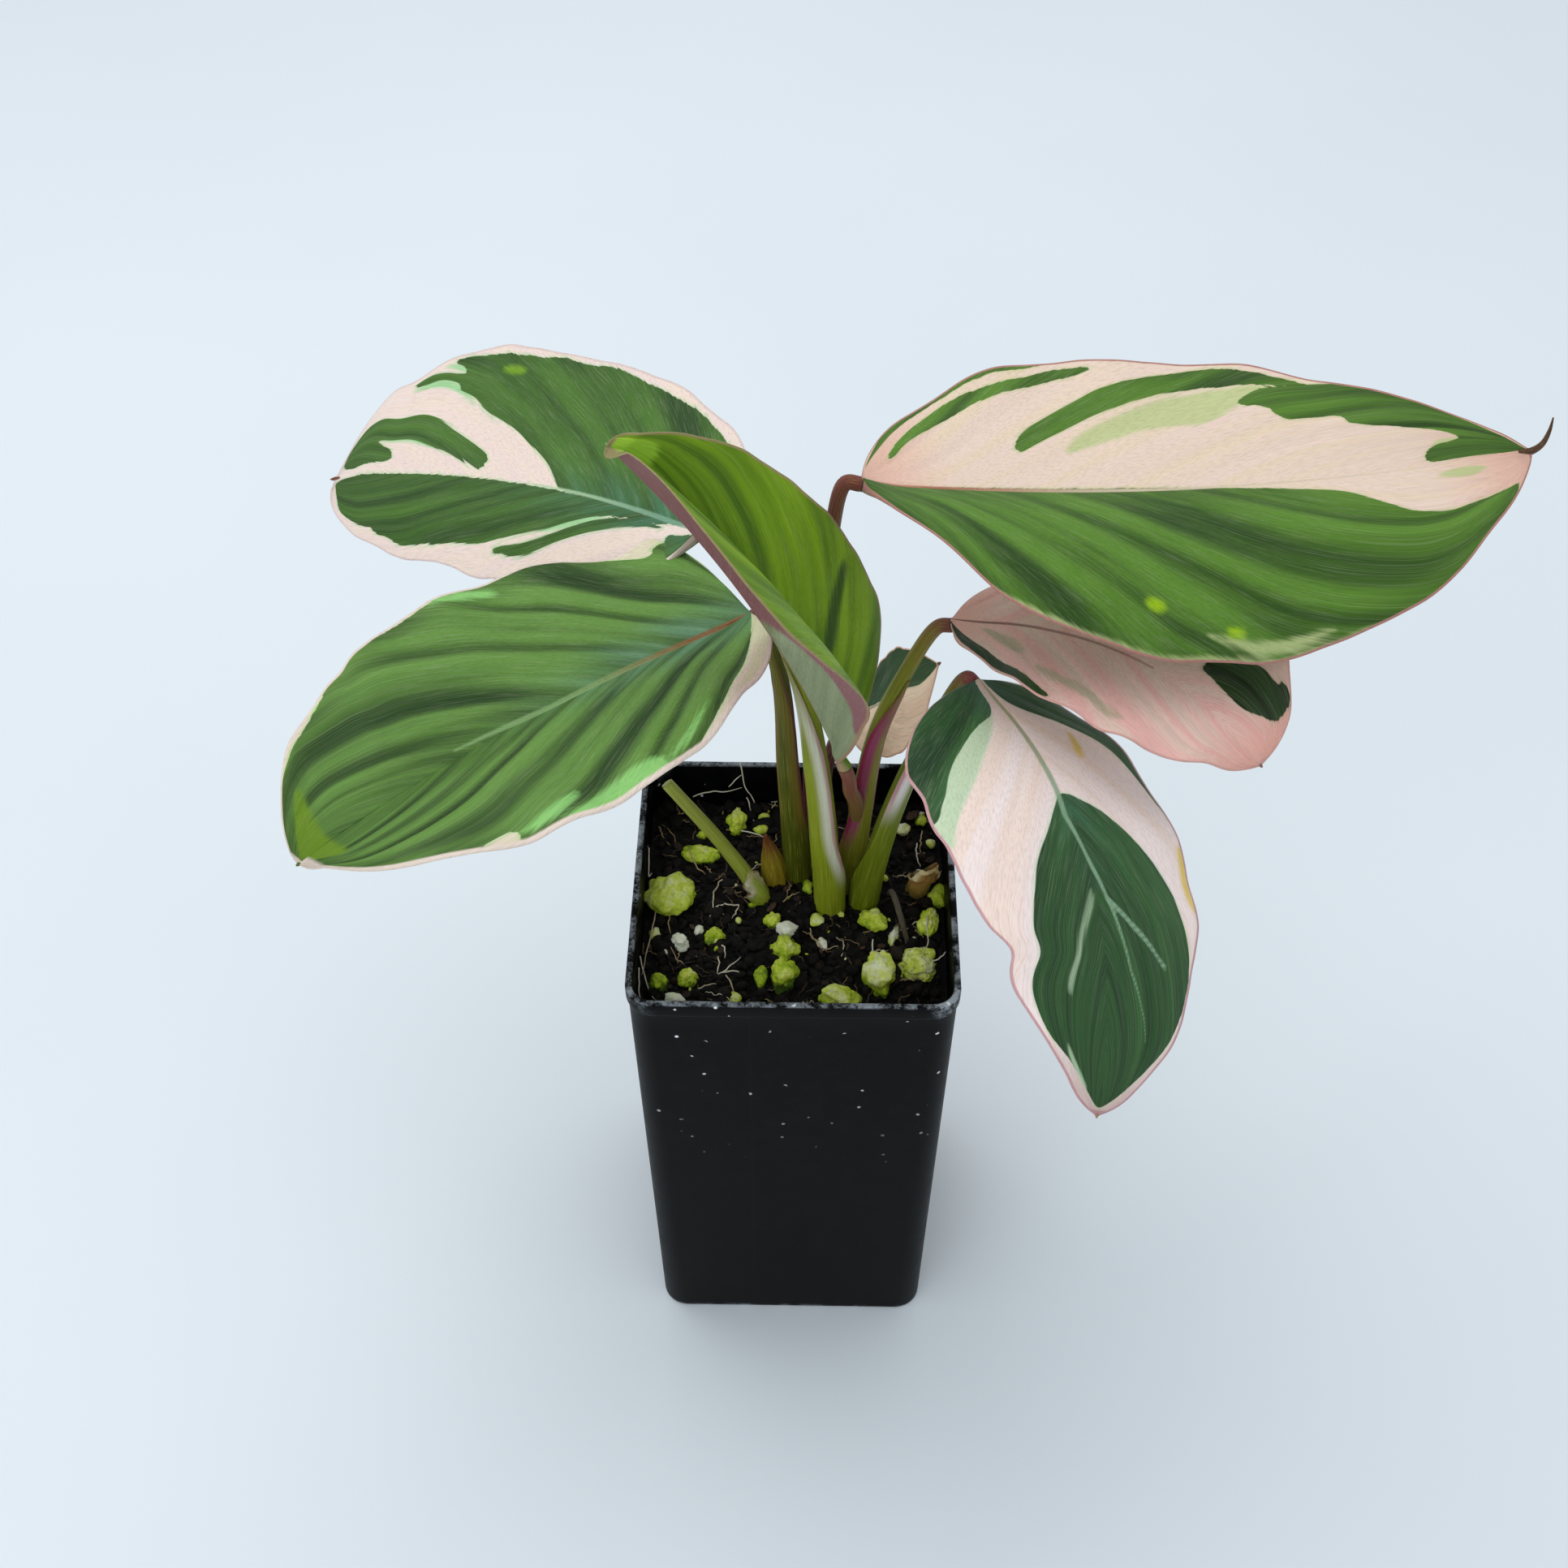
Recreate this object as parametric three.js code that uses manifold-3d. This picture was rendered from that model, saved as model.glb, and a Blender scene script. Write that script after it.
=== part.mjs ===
// A potted pink variegated arrowroot: a square black nursery pot filled with peaty mix and perlite, and a
// clump of seven leaves on sheathed petioles. Millimetres, +Z up, +X right and -Y towards the viewer.
// The origin is the middle of the pot's underside.
import * as THREE from 'three';
import { mergeVertices } from 'three/addons/utils/BufferGeometryUtils.js';
import Module from 'manifold-3d';

const wasm = await Module();
wasm.setup();

// Driving sizes of the pot
const POT_HEIGHT = 130;
const RIM_WIDTH = 70;
const BASE_WIDTH = 64.5;
const WALL = 1.0;
const FLOOR = 1.6;
const LIP_HEIGHT = 4.5;
const LIP_OUT = 0.5;
const RIM_CORNER = 5.5;
const BASE_CORNER = 6;
const DRAIN_RADIUS = 4;
const DRAIN_OFFSET = 19;

// Driving sizes of what fills it
const GAP = 0.3;
const SOIL_TOP = 118;
const SOIL_LUMP = 0.7;
const SOIL_GRID = 20;

// Driving sizes of the plant
const BLADE = 0.8;
const STALK_RADIUS = 1.5;
const STALK_FADE = 9;
const RIB_DEPTH = 0.9;
const LEAF_ROWS = 15;
const LEAF_COLUMNS = [1, 0.76, 0.5, 0.24, 0.06, 0];
const STEM_SIDES = 8;

const degrees = THREE.MathUtils.degToRad;
const ease = THREE.MathUtils.smoothstep;
const up = new THREE.Vector3(0, 0, 1);

// A closed surface through a row of rings with equally many points, counter-clockwise about the way they go
function loft(rings) {
  const count = rings[0].length;
  const points = rings.flat();
  const triangles = [];
  for (let ring = 0; ring + 1 < rings.length; ring++) {
    for (let i = 0; i < count; i++) {
      const next = (i + 1) % count;
      const a = ring * count + i;
      const b = ring * count + next;
      triangles.push(a, b, b + count, a, b + count, a + count);
    }
  }
  const ends = [[rings[0], 0, -1], [rings.at(-1), (rings.length - 1) * count, 1]];
  for (const [ring, first, way] of ends) {
    const centre = points.length;
    points.push(ring.reduce((sum, p) => sum.add(p), new THREE.Vector3()).divideScalar(count));
    for (let i = 0; i < count; i++) {
      const pair = [first + i, first + (i + 1) % count];
      triangles.push(centre, ...(way > 0 ? pair : pair.reverse()));
    }
  }
  return surface(points, triangles);
}

function surface(points, triangles) {
  const geometry = new THREE.BufferGeometry().setFromPoints(points);
  geometry.setIndex(triangles);
  return geometry;
}

// Joins and cuts work on solids, which share their corners
function solid(geometry) {
  const bare = geometry.clone();
  bare.deleteAttribute('normal');
  bare.deleteAttribute('uv');
  const merged = mergeVertices(bare, 1e-4);
  return new wasm.Manifold(new wasm.Mesh({
    numProp: 3,
    vertProperties: new Float32Array(merged.attributes.position.array),
    triVerts: new Uint32Array(merged.index.array),
  }));
}

function geometryOf(made) {
  const mesh = made.getMesh();
  const geometry = new THREE.BufferGeometry();
  geometry.setAttribute('position', new THREE.BufferAttribute(mesh.vertProperties, 3));
  geometry.setIndex(new THREE.BufferAttribute(mesh.triVerts, 1));
  return geometry;
}

const cut = (body, tools) => tools.reduce((left, tool) => left.subtract(tool), body);

function piece(name, made, [color, roughness]) {
  const geometry = made.isBufferGeometry ? made : geometryOf(made);
  geometry.computeVertexNormals();
  const mesh = new THREE.Mesh(geometry, new THREE.MeshStandardMaterial({ color, roughness, metalness: 0 }));
  mesh.name = name;
  return mesh;
}

// Colours and roughness
const PLASTIC = [0x1b1c1f, 0.45];
const PEAT = [0x1f1712, 0.95];
const PERLITE = [0xc9cf9a, 0.85];
const GREEN_BLADE = [0x3d7a2e, 0.4];
const PINK_BLADE = [0xeccbb8, 0.4];
const GREEN_STEM = [0x8ba03c, 0.45];
const RED_STEM = [0x7a3f35, 0.45];
const DRY = [0x9a6a3a, 0.8];

// The nursery pot: one moulded shell with a lip at the rim and four drain holes in its floor
function roundedSquare(width, corner, z) {
  const steps = 6;
  const middle = width / 2 - corner;
  const ring = [];
  for (let quarter = 0; quarter < 4; quarter++) {
    for (let i = 0; i <= steps; i++) {
      const angle = (i / steps) * (Math.PI / 2);
      const x = middle + corner * Math.cos(angle);
      const y = middle + corner * Math.sin(angle);
      ring.push(new THREE.Vector3(x, y, z).applyAxisAngle(up, quarter * (Math.PI / 2)));
    }
  }
  return ring;
}

// The wall's outer width and corner at a height, less an inset all round
function wallRing(z, inset) {
  const share = z / POT_HEIGHT;
  const width = THREE.MathUtils.lerp(BASE_WIDTH, RIM_WIDTH - 2 * LIP_OUT, share);
  const corner = THREE.MathUtils.lerp(BASE_CORNER, RIM_CORNER, share);
  return roundedSquare(width - 2 * inset, corner - inset, z);
}

function nurseryPot() {
  const lipBottom = POT_HEIGHT - LIP_HEIGHT;
  const edge = 0.4;
  const shell = loft([
    wallRing(0, 0.8),
    wallRing(0.8, 0),
    wallRing(lipBottom, 0),
    wallRing(lipBottom + LIP_OUT, -LIP_OUT),
    wallRing(POT_HEIGHT - edge, -LIP_OUT),
    wallRing(POT_HEIGHT, edge - LIP_OUT),
    wallRing(POT_HEIGHT, WALL - edge),
    wallRing(POT_HEIGHT - edge, WALL),
    wallRing(FLOOR, WALL),
  ]);
  const drains = [];
  for (const x of [-DRAIN_OFFSET, DRAIN_OFFSET]) {
    for (const y of [-DRAIN_OFFSET, DRAIN_OFFSET]) {
      const drain = new THREE.CylinderGeometry(DRAIN_RADIUS, DRAIN_RADIUS, 4 * FLOOR, 20);
      drain.rotateX(Math.PI / 2);
      drain.translate(x, y, 0);
      drains.push(solid(drain));
    }
  }
  return cut(solid(shell), drains);
}

// The surface of the potting mix: low lumps, a little higher round the crown
function soilHeight(x, y) {
  const lumps = Math.sin(0.31 * x + 0.8) * Math.cos(0.27 * y - 0.4) + 0.6 * Math.sin(0.62 * x - 0.5 * y);
  const crown = 1.2 * Math.exp(-((x - 5) ** 2 + (y - 6) ** 2) / 300);
  return SOIL_TOP + SOIL_LUMP * lumps + crown;
}

function pottingMix(tools) {
  const inset = WALL + GAP;
  const fill = loft([wallRing(FLOOR + GAP, inset), wallRing(POT_HEIGHT, inset)]);
  const ground = new THREE.BoxGeometry(RIM_WIDTH, RIM_WIDTH, SOIL_TOP, SOIL_GRID, SOIL_GRID, 1);
  ground.translate(0, 0, SOIL_TOP / 2);
  const place = ground.attributes.position;
  for (let i = 0; i < place.count; i++) {
    if (place.getZ(i) > SOIL_TOP / 2) {
      place.setZ(i, soilHeight(place.getX(i), place.getY(i)));
    }
  }
  return cut(solid(fill).intersect(solid(ground)), tools);
}

// Perlite: rough pebbles, each seated in a pocket of the mix. Place, size along X, Y and Z, and turn.
const GRAINS = [
  { x: -27.5, y: 3.5, size: [10.5, 10, 7], turn: 20 },
  { x: -21.5, y: 16, size: [8, 5, 4], turn: -10 },
  { x: -13.5, y: 25.5, size: [4.5, 6.5, 5], turn: 0 },
  { x: -2, y: -11, size: [5.5, 6.5, 5.5], turn: 10 },
  { x: -2, y: -19, size: [6, 7.5, 6], turn: -15 },
  { x: -4.8, y: -3.3, size: [4, 3.6, 3.4], turn: 30 },
  { x: 18.5, y: -18.5, size: [7, 10, 7.5], turn: 12 },
  { x: 9.8, y: -24.5, size: [8.5, 6.5, 5.5], turn: -5 },
  { x: 17.5, y: -3, size: [6, 5, 4.5], turn: -25 },
  { x: 29.5, y: -3.5, size: [4, 7, 5], turn: -12 },
  { x: 27, y: -15, size: [8.5, 8, 5], turn: 35 },
  { x: -29, y: -20, size: [4.2, 4.4, 3.6], turn: 0 },
  { x: -22.8, y: -19.5, size: [4.2, 4, 3.8], turn: 40 },
  { x: -17.5, y: -7, size: [4.2, 3.8, 3.4], turn: 15 },
  { x: -25, y: -10, size: [4.4, 3.6, 3.2], turn: -30 },
];
const GRAIN_RISE = 0.22;
const GRAIN_ROUGH = 0.07;

function grain({ x, y, size, turn }, grow) {
  const faceted = new THREE.IcosahedronGeometry(0.5, 1).deleteAttribute('uv').deleteAttribute('normal');
  const geometry = mergeVertices(faceted);
  const place = geometry.attributes.position;
  const point = new THREE.Vector3();
  for (let i = 0; i < place.count; i++) {
    point.fromBufferAttribute(place, i);
    const bump = Math.sin(7 * point.x + x) * Math.sin(6 * point.y + y) + Math.sin(8 * point.z + x - y);
    point.multiplyScalar(1 + GRAIN_ROUGH * bump);
    point.multiply(new THREE.Vector3(...size.map((length) => length + 2 * grow)));
    place.setXYZ(i, point.x, point.y, point.z);
  }
  geometry.rotateZ(degrees(turn));
  geometry.translate(x, y, soilHeight(x, y) + GRAIN_RISE * size[2]);
  return geometry;
}

// Leaves. Each midrib starts at base, points along heading (turned from +X towards +Y) and rise, and bends
// by turn and droop on its way to the tip. Each half of the blade has its width, its fold down at the midrib,
// its further curl down to the margin, and belly, the share of the length at which it is widest. roll and
// twist tip the blade about its midrib. round and point shape the base and the tip.
const LEAVES = {
  leaf_back_left: {
    base: [-19.5, 27, 203.5], heading: 137, turn: 21, rise: -10, droop: 13, length: 109.5,
    roll: -6, twist: -8, round: 0.3, point: 0.39,
    left: { width: 23.5, fold: 7, curl: 25, belly: 0.42 },
    right: { width: 37, fold: -4, curl: -8, belly: 0.67 },
    ripple: 0.5, color: GREEN_BLADE,
  },
  leaf_front_left: {
    base: [-9, 9.5, 197], heading: 214, turn: 16, rise: 3, droop: 2, length: 102.5,
    roll: 9, twist: -8, round: 0.44, point: 0.64,
    left: { width: 32, fold: -16, curl: 24, belly: 0.49 },
    right: { width: 33, fold: -20, curl: 6, belly: 0.47 },
    ripple: 0.6, color: GREEN_BLADE,
  },
  leaf_centre_young: {
    base: [10, -1, 166], heading: 178, turn: 7.5, rise: 72.5, droop: 20.5, length: 93,
    roll: -4.5, twist: -30, round: 1.23, point: 0.59,
    left: { width: 28.5, fold: -81, curl: 61, belly: 0.6 },
    right: { width: 24, fold: -44, curl: 25, belly: 0.32 },
    ripple: 0, color: GREEN_BLADE,
  },
  leaf_right_large: {
    base: [12, 15, 226], heading: 8, turn: 1, rise: -11, droop: -17, length: 133.5,
    roll: -9, twist: 19, round: 0.66, point: 0.79,
    left: { width: 35, fold: -7, curl: -11, belly: 0.31 },
    right: { width: 39.5, fold: -13, curl: 72, belly: 0.5 },
    ripple: 0.5, color: GREEN_BLADE,
  },
  leaf_right_low: {
    base: [31, 12.5, 193], heading: -12, turn: -36, rise: 19, droop: 47, length: 69,
    roll: -5, twist: 16, round: 0.62, point: 0.69,
    left: { width: 33.5, fold: 2, curl: 10, belly: 0.54 },
    right: { width: 22, fold: 0, curl: -17, belly: 0.46 },
    ripple: 0.6, color: PINK_BLADE,
  },
  leaf_front_right: {
    base: [35.5, 1, 187.5], heading: -54, turn: -48, rise: 6, droop: 45, length: 93.5,
    roll: -19, twist: -15, round: 0.53, point: 0.72,
    left: { width: 26, fold: -3, curl: 13, belly: 0.44 },
    right: { width: 29.5, fold: -6, curl: 37, belly: 0.28 },
    ripple: 0.5, color: PINK_BLADE,
  },
  leaf_back_small: {
    base: [12.5, 27, 152], heading: -16, turn: 17, rise: 45, droop: -4, length: 26,
    roll: 0, twist: 8, round: 0.59, point: 1.06,
    left: { width: 12.5, fold: -1, curl: -17, belly: 0.42 },
    right: { width: 14.5, fold: -1, curl: 31, belly: 0.41 },
    ripple: 0, color: GREEN_BLADE,
  },
};
const MIDRIB_STEPS = 60;
const FOLD_FROM = 1;
const FOLD_FULL = 6;
const RIPPLE_WAVES = 5;

// The leaf's axes at a share of its length: along the midrib, to its left and out of its upper face
function leafAxes(leaf, share) {
  const azimuth = degrees(leaf.heading + leaf.turn * share);
  const pitch = degrees(leaf.rise - leaf.droop * share);
  const along = new THREE.Vector3(
    Math.cos(pitch) * Math.cos(azimuth),
    Math.cos(pitch) * Math.sin(azimuth),
    Math.sin(pitch),
  );
  const roll = degrees(leaf.roll + leaf.twist * share);
  const aside = new THREE.Vector3(-Math.sin(azimuth), Math.cos(azimuth), 0).applyAxisAngle(along, roll);
  return { along, aside, above: along.clone().cross(aside) };
}

function midribPoint(leaf, share) {
  const point = new THREE.Vector3(...leaf.base);
  const steps = Math.round(MIDRIB_STEPS * share) || 1;
  for (let i = 0; i < steps; i++) {
    const middle = (share * (i + 0.5)) / steps;
    point.addScaledVector(leafAxes(leaf, middle).along, (leaf.length * share) / steps);
  }
  return point;
}

function halfWidth(leaf, half, share) {
  const towardsBase = Math.max(0, 1 - ((half.belly - share) / half.belly) ** 2) ** leaf.round;
  const towardsTip = Math.max(0, 1 - ((share - half.belly) / (1 - half.belly)) ** 2) ** leaf.point;
  const least = THREE.MathUtils.lerp(STALK_RADIUS, 0.5, share);
  return Math.max(least, half.width * (share < half.belly ? towardsBase : towardsTip));
}

// One point of the blade's middle surface, its normal there and how thick the blade is above and below
function bladePoint(leaf, share, across) {
  const { aside, above } = leafAxes(leaf, share);
  const half = across < 0 ? leaf.right : leaf.left;
  const sign = across < 0 ? -1 : 1;
  const wide = halfWidth(leaf, half, share);
  const folded = ease(wide, FOLD_FROM, FOLD_FULL);
  const fold = degrees(half.fold) * folded;
  const bend = degrees(half.curl || 0.01) / half.width;
  const reach = Math.abs(across) * wide;
  const angle = fold + bend * reach;
  const out = (Math.sin(angle) - Math.sin(fold)) / bend;
  const down = (Math.cos(fold) - Math.cos(angle)) / bend;
  const ripple = leaf.ripple * folded * across ** 2 * Math.sin(2 * Math.PI * RIPPLE_WAVES * share + sign);
  const point = midribPoint(leaf, share).addScaledVector(aside, sign * out);
  point.addScaledVector(above, ripple - down);
  const normal = aside.clone().multiplyScalar(sign * Math.sin(angle)).addScaledVector(above, Math.cos(angle));
  if (across === 0) {
    normal.copy(above);
  }
  const fromBase = Math.hypot(share * leaf.length, reach);
  const stalk = (STALK_RADIUS - BLADE / 2) * Math.max(0, 1 - fromBase / STALK_FADE) ** 2;
  const rib = across === 0 ? RIB_DEPTH * (1 - share) * ease(fromBase, 0, STALK_FADE) : 0;
  return { point, normal, above: BLADE / 2 + stalk, below: BLADE / 2 + stalk + rib };
}

// A blade is a grid, split alike on its upper and lower face and closed round its edge
function blade(leaf) {
  const columns = [...LEAF_COLUMNS, ...LEAF_COLUMNS.slice(0, -1).reverse().map((across) => -across)];
  const rows = LEAF_ROWS + 1;
  const wide = columns.length;
  const upper = [];
  const lower = [];
  for (let row = 0; row < rows; row++) {
    const share = (1 - Math.cos((Math.PI * row) / LEAF_ROWS)) / 2;
    for (const across of columns) {
      const at = bladePoint(leaf, share, across);
      upper.push(at.point.clone().addScaledVector(at.normal, at.above));
      lower.push(at.point.clone().addScaledVector(at.normal, -at.below));
    }
  }
  const under = upper.length;
  const triangles = [];
  const quad = (a, b, c, d) => triangles.push(a, b, c, a, c, d);
  for (let row = 0; row + 1 < rows; row++) {
    for (let column = 0; column + 1 < wide; column++) {
      const a = row * wide + column;
      const c = a + wide + 1;
      quad(a, a + 1, c, c - 1);
      triangles.push(under + a, under + c, under + a + 1, under + a, under + c - 1, under + c);
    }
    const leftEdge = row * wide;
    const rightEdge = leftEdge + wide - 1;
    quad(leftEdge, leftEdge + wide, under + leftEdge + wide, under + leftEdge);
    quad(rightEdge + wide, rightEdge, under + rightEdge, under + rightEdge + wide);
  }
  for (let column = 0; column + 1 < wide; column++) {
    const tip = (rows - 1) * wide + column;
    quad(column + 1, column, under + column, under + column + 1);
    quad(tip, tip + 1, under + tip + 1, under + tip);
  }
  return surface([...upper, ...lower], triangles);
}

// Petioles: round stalks, thick at the foot where the sheath clasps the crown, that stand in plain holes of
// the mix and end face to face with their blades. Points from foot to top, with the radius at each.
const FOOT_DEPTH = 8;
const TOP_BEND = 3;

function stalk(points, radii, flat = 1) {
  const curve = new THREE.CatmullRomCurve3(points, false, 'centripetal');
  const steps = 3 * (points.length - 1);
  const rings = [];
  for (let i = 0; i <= steps; i++) {
    const share = i / steps;
    const place = share * (radii.length - 1);
    const low = Math.min(Math.floor(place), radii.length - 2);
    const radius = THREE.MathUtils.lerp(radii[low], radii[low + 1], place - low);
    const along = curve.getTangent(share);
    const back = new THREE.Vector3(0, 1, 0).addScaledVector(along, -along.y).normalize();
    const aside = back.clone().cross(along);
    const middle = curve.getPoint(share);
    const ring = [];
    for (let side = 0; side < STEM_SIDES; side++) {
      const angle = (2 * Math.PI * side) / STEM_SIDES;
      const point = middle.clone().addScaledVector(aside, radius * Math.cos(angle));
      ring.push(point.addScaledVector(back, radius * flat * Math.sin(angle)));
    }
    rings.push(ring);
  }
  return loft(rings);
}

const vectors = (list) => list.map((point) => new THREE.Vector3(...point));

// The top bends over into the blade's own direction and stops just short of it
function topPoints(leaf) {
  const { along } = leafAxes(leaf, 0);
  return [-TOP_BEND, -GAP].map((back) => new THREE.Vector3(...leaf.base).addScaledVector(along, back));
}

function petiolePoints(leaf, route) {
  const foot = vectors(route);
  const start = foot[0].clone().setZ(foot[0].z - FOOT_DEPTH);
  return [start, ...foot, ...topPoints(leaf)];
}

const PETIOLES = {
  petiole_back_left: {
    leaf: 'leaf_back_left', color: GREEN_STEM,
    route: [[0.5, 10.5, 118], [-0.2, 10.5, 134], [-1.6, 11, 154], [-3.2, 14, 176], [-9, 20.5, 195]],
    radii: [2.9, 2.9, 2.9, 2.5, 1.7, 1.5, 1.5, 1.5],
  },
  petiole_front_left: {
    leaf: 'leaf_front_left', color: GREEN_STEM,
    route: [[7.8, 1.5, 118], [6.5, 2, 139], [4.6, 3, 161], [0.8, 5.5, 184]],
    radii: [2.9, 3.1, 3.2, 2.9, 1.7, 1.5, 1.5],
  },
  petiole_right_large: {
    leaf: 'leaf_right_large', color: RED_STEM,
    route: [[4.6, 15.5, 118], [3.5, 16, 149], [4, 16.5, 184], [6, 16, 207]],
    radii: [2.2, 2.1, 1.9, 1.7, 1.5, 1.5, 1.5],
  },
  petiole_right_low: {
    leaf: 'leaf_right_low', color: GREEN_STEM,
    route: [[12, 8.6, 118], [13.8, 8, 143], [16.7, 8.2, 167], [22, 10, 182]],
    radii: [2.6, 2.7, 2.6, 2.1, 1.6, 1.5, 1.5],
  },
  petiole_front_right: {
    leaf: 'leaf_front_right', color: GREEN_STEM,
    route: [[15.3, 3, 118], [18.4, 2.6, 140], [23.6, 2.6, 162], [30, 3, 180]],
    radii: [2.5, 2.6, 2.6, 2.2, 1.6, 1.5, 1.5],
  },
  petiole_back_small: {
    leaf: 'leaf_back_small', color: RED_STEM,
    route: [[8.5, 21.5, 118], [6.6, 23, 139]],
    radii: [1.7, 1.6, 1.5, 1.5, 1.5],
  },
};

// The young leaf's petiole comes out of the sheath of the low right one, so both are one grown piece
const YOUNG_ROUTE = [[13.4, 8, 139], [12.6, 4.5, 150], [11.4, 1.2, 157]];
const YOUNG_RADII = [1.7, 1.7, 1.6, 1.5, 1.5];

function petiole({ leaf, route, radii }) {
  return solid(stalk(petiolePoints(LEAVES[leaf], route), radii));
}

function youngPetiole() {
  const points = [...vectors(YOUNG_ROUTE), ...topPoints(LEAVES.leaf_centre_young)];
  return solid(stalk(points, YOUNG_RADII));
}

// Old and dry pieces of the clump: a cut petiole that leans left, a bud scale, a dry sheath and a twig
const RELICS = {
  petiole_cut_old: {
    points: [[-5.4, 3.2, 110], [-8, 4.2, 119], [-16, 8.5, 130.5], [-26, 12.5, 143]],
    radii: [2, 2.1, 1.7, 1.5], flat: 1, color: GREEN_STEM,
  },
  bud_scale: {
    points: [[-4.6, 9, 112], [-5.4, 9, 119], [-6, 9.2, 125], [-6.6, 9.5, 132]],
    radii: [2, 2.3, 1.7, 0.4], flat: 0.8, color: DRY,
  },
  sheath_dry: {
    points: [[26.4, 7, 112], [27.2, 6.4, 119], [29, 5.6, 125], [31, 5, 129.5]],
    radii: [1.6, 2.2, 2, 0.5], flat: 0.6, color: DRY,
  },
  twig_dry: {
    points: [[20.6, 6.5, 116], [21.6, 3.5, 121.2], [23.2, -3, 121.4], [25, -9, 118.2]],
    radii: [0.6, 0.7, 0.7, 0.5], flat: 1, color: DRY,
  },
};

// Assembly
const plant = new THREE.Group();
const pockets = [];

// A copy that is grown by the gap cuts each hole, so that nothing touches the mix
function wider(points, radii, flat) {
  return solid(stalk(points, radii.map((radius) => radius + GAP), flat));
}

for (const [name, spec] of Object.entries(PETIOLES)) {
  const leaf = LEAVES[spec.leaf];
  const joined = name === 'petiole_right_low' ? petiole(spec).add(youngPetiole()) : petiole(spec);
  plant.add(piece(name, joined, spec.color));
  const points = petiolePoints(leaf, spec.route);
  points[0].z -= GAP;
  pockets.push(wider(points, spec.radii));
}

for (const [name, spec] of Object.entries(RELICS)) {
  const points = vectors(spec.points);
  plant.add(piece(name, solid(stalk(points, spec.radii, spec.flat)), spec.color));
  points[0].addScaledVector(points[0].clone().sub(points[1]).normalize(), GAP);
  pockets.push(wider(points, spec.radii, spec.flat));
}

for (const [name, leaf] of Object.entries(LEAVES)) {
  plant.add(piece(name, solid(blade(leaf)), leaf.color));
}

GRAINS.forEach((spec, index) => {
  const name = `perlite_${String(index + 1).padStart(2, '0')}`;
  plant.add(piece(name, solid(grain(spec, 0)), PERLITE));
  pockets.push(solid(grain(spec, GAP)));
});

plant.add(piece('potting_mix', pottingMix(pockets), PEAT));
plant.add(piece('nursery_pot', nurseryPot(), PLASTIC));

export default plant;
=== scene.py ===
"""Looks of the potted pink variegated arrowroot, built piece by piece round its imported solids."""

import math
import random

import bmesh
import bpy
import numpy as np
from mathutils import Euler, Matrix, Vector, noise


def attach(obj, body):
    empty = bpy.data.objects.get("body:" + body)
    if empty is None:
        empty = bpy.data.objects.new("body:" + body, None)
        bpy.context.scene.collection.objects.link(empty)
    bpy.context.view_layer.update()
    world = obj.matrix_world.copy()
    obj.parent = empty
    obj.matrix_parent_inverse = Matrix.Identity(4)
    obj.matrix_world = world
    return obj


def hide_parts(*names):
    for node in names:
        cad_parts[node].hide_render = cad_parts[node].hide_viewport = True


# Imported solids. They give the place and form of every piece below, in metres, with the origin in
# the middle of the pot's underside. The sections work in millimetres and turn them into metres.
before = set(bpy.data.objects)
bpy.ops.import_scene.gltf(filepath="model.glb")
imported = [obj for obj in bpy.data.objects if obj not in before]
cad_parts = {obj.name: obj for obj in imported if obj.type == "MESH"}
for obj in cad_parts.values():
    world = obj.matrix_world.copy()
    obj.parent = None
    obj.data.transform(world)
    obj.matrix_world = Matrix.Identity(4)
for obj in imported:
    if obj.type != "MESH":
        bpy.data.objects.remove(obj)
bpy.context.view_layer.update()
MM = 0.001


# Studio. A seamless pale sheet, a wide window light from above and behind, and a weaker one from
# the front left that opens the shade under the leaves. The camera looks down at the plant.
CAMERA_PLACE = (0.0022, -0.2816, 0.459)
CAMERA_PITCH = 43.25
CAMERA_HEADING = 0.92
CAMERA_LENS = 45.65
FLOOR_SIZE = 3.0
FLOOR_PALE = "E9EFF3"
FLOOR_GREY = "E0E7EC"
SKY_PALE = "E9EFF4"
SKY_STRENGTH = 0.83
# Middle of the plant, in metres
LIGHT_AIM = (0, 0, 0.15)
WINDOW_SIZE = 0.9


def paint(code):
    """Linear colour from a six-digit code of its red, green and blue."""
    parts = [int(code[i:i + 2], 16) / 255 for i in (0, 2, 4)]
    linear = [part / 12.92 if part <= 0.04045 else ((part + 0.055) / 1.055) ** 2.4 for part in parts]
    return (*linear, 1.0)


def add_node(tree, kind, feeds=None, **settings):
    """Adds a shader node. feeds maps its inputs to plain values or to the sockets that feed them."""
    node = tree.nodes.new("ShaderNode" + kind)
    for name, value in settings.items():
        setattr(node, name, value)
    for name, value in (feeds or {}).items():
        if isinstance(value, bpy.types.NodeSocket):
            tree.links.new(value, node.inputs[name])
        else:
            node.inputs[name].default_value = value
    return node


def calc(tree, operation, *values):
    return add_node(tree, "Math", dict(enumerate(values)), operation=operation).outputs[0]


def ease(tree, value, low, high):
    """0 before low, 1 past high and smooth between them; low may be the greater one."""
    feeds = {"Value": value, "From Min": low, "From Max": high}
    return add_node(tree, "MapRange", feeds, interpolation_type="SMOOTHSTEP").outputs[0]


def tint(tree, share, first, second, mode="MIX"):
    feeds = {0: share, 6: first, 7: second}
    return add_node(tree, "Mix", feeds, data_type="RGBA", blend_type=mode).outputs[2]


def cloud(tree, place, scale, detail=2.0, rough=0.5):
    feeds = {"Vector": place, "Scale": scale, "Detail": detail, "Roughness": rough}
    return add_node(tree, "TexNoise", feeds).outputs[0]


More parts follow.
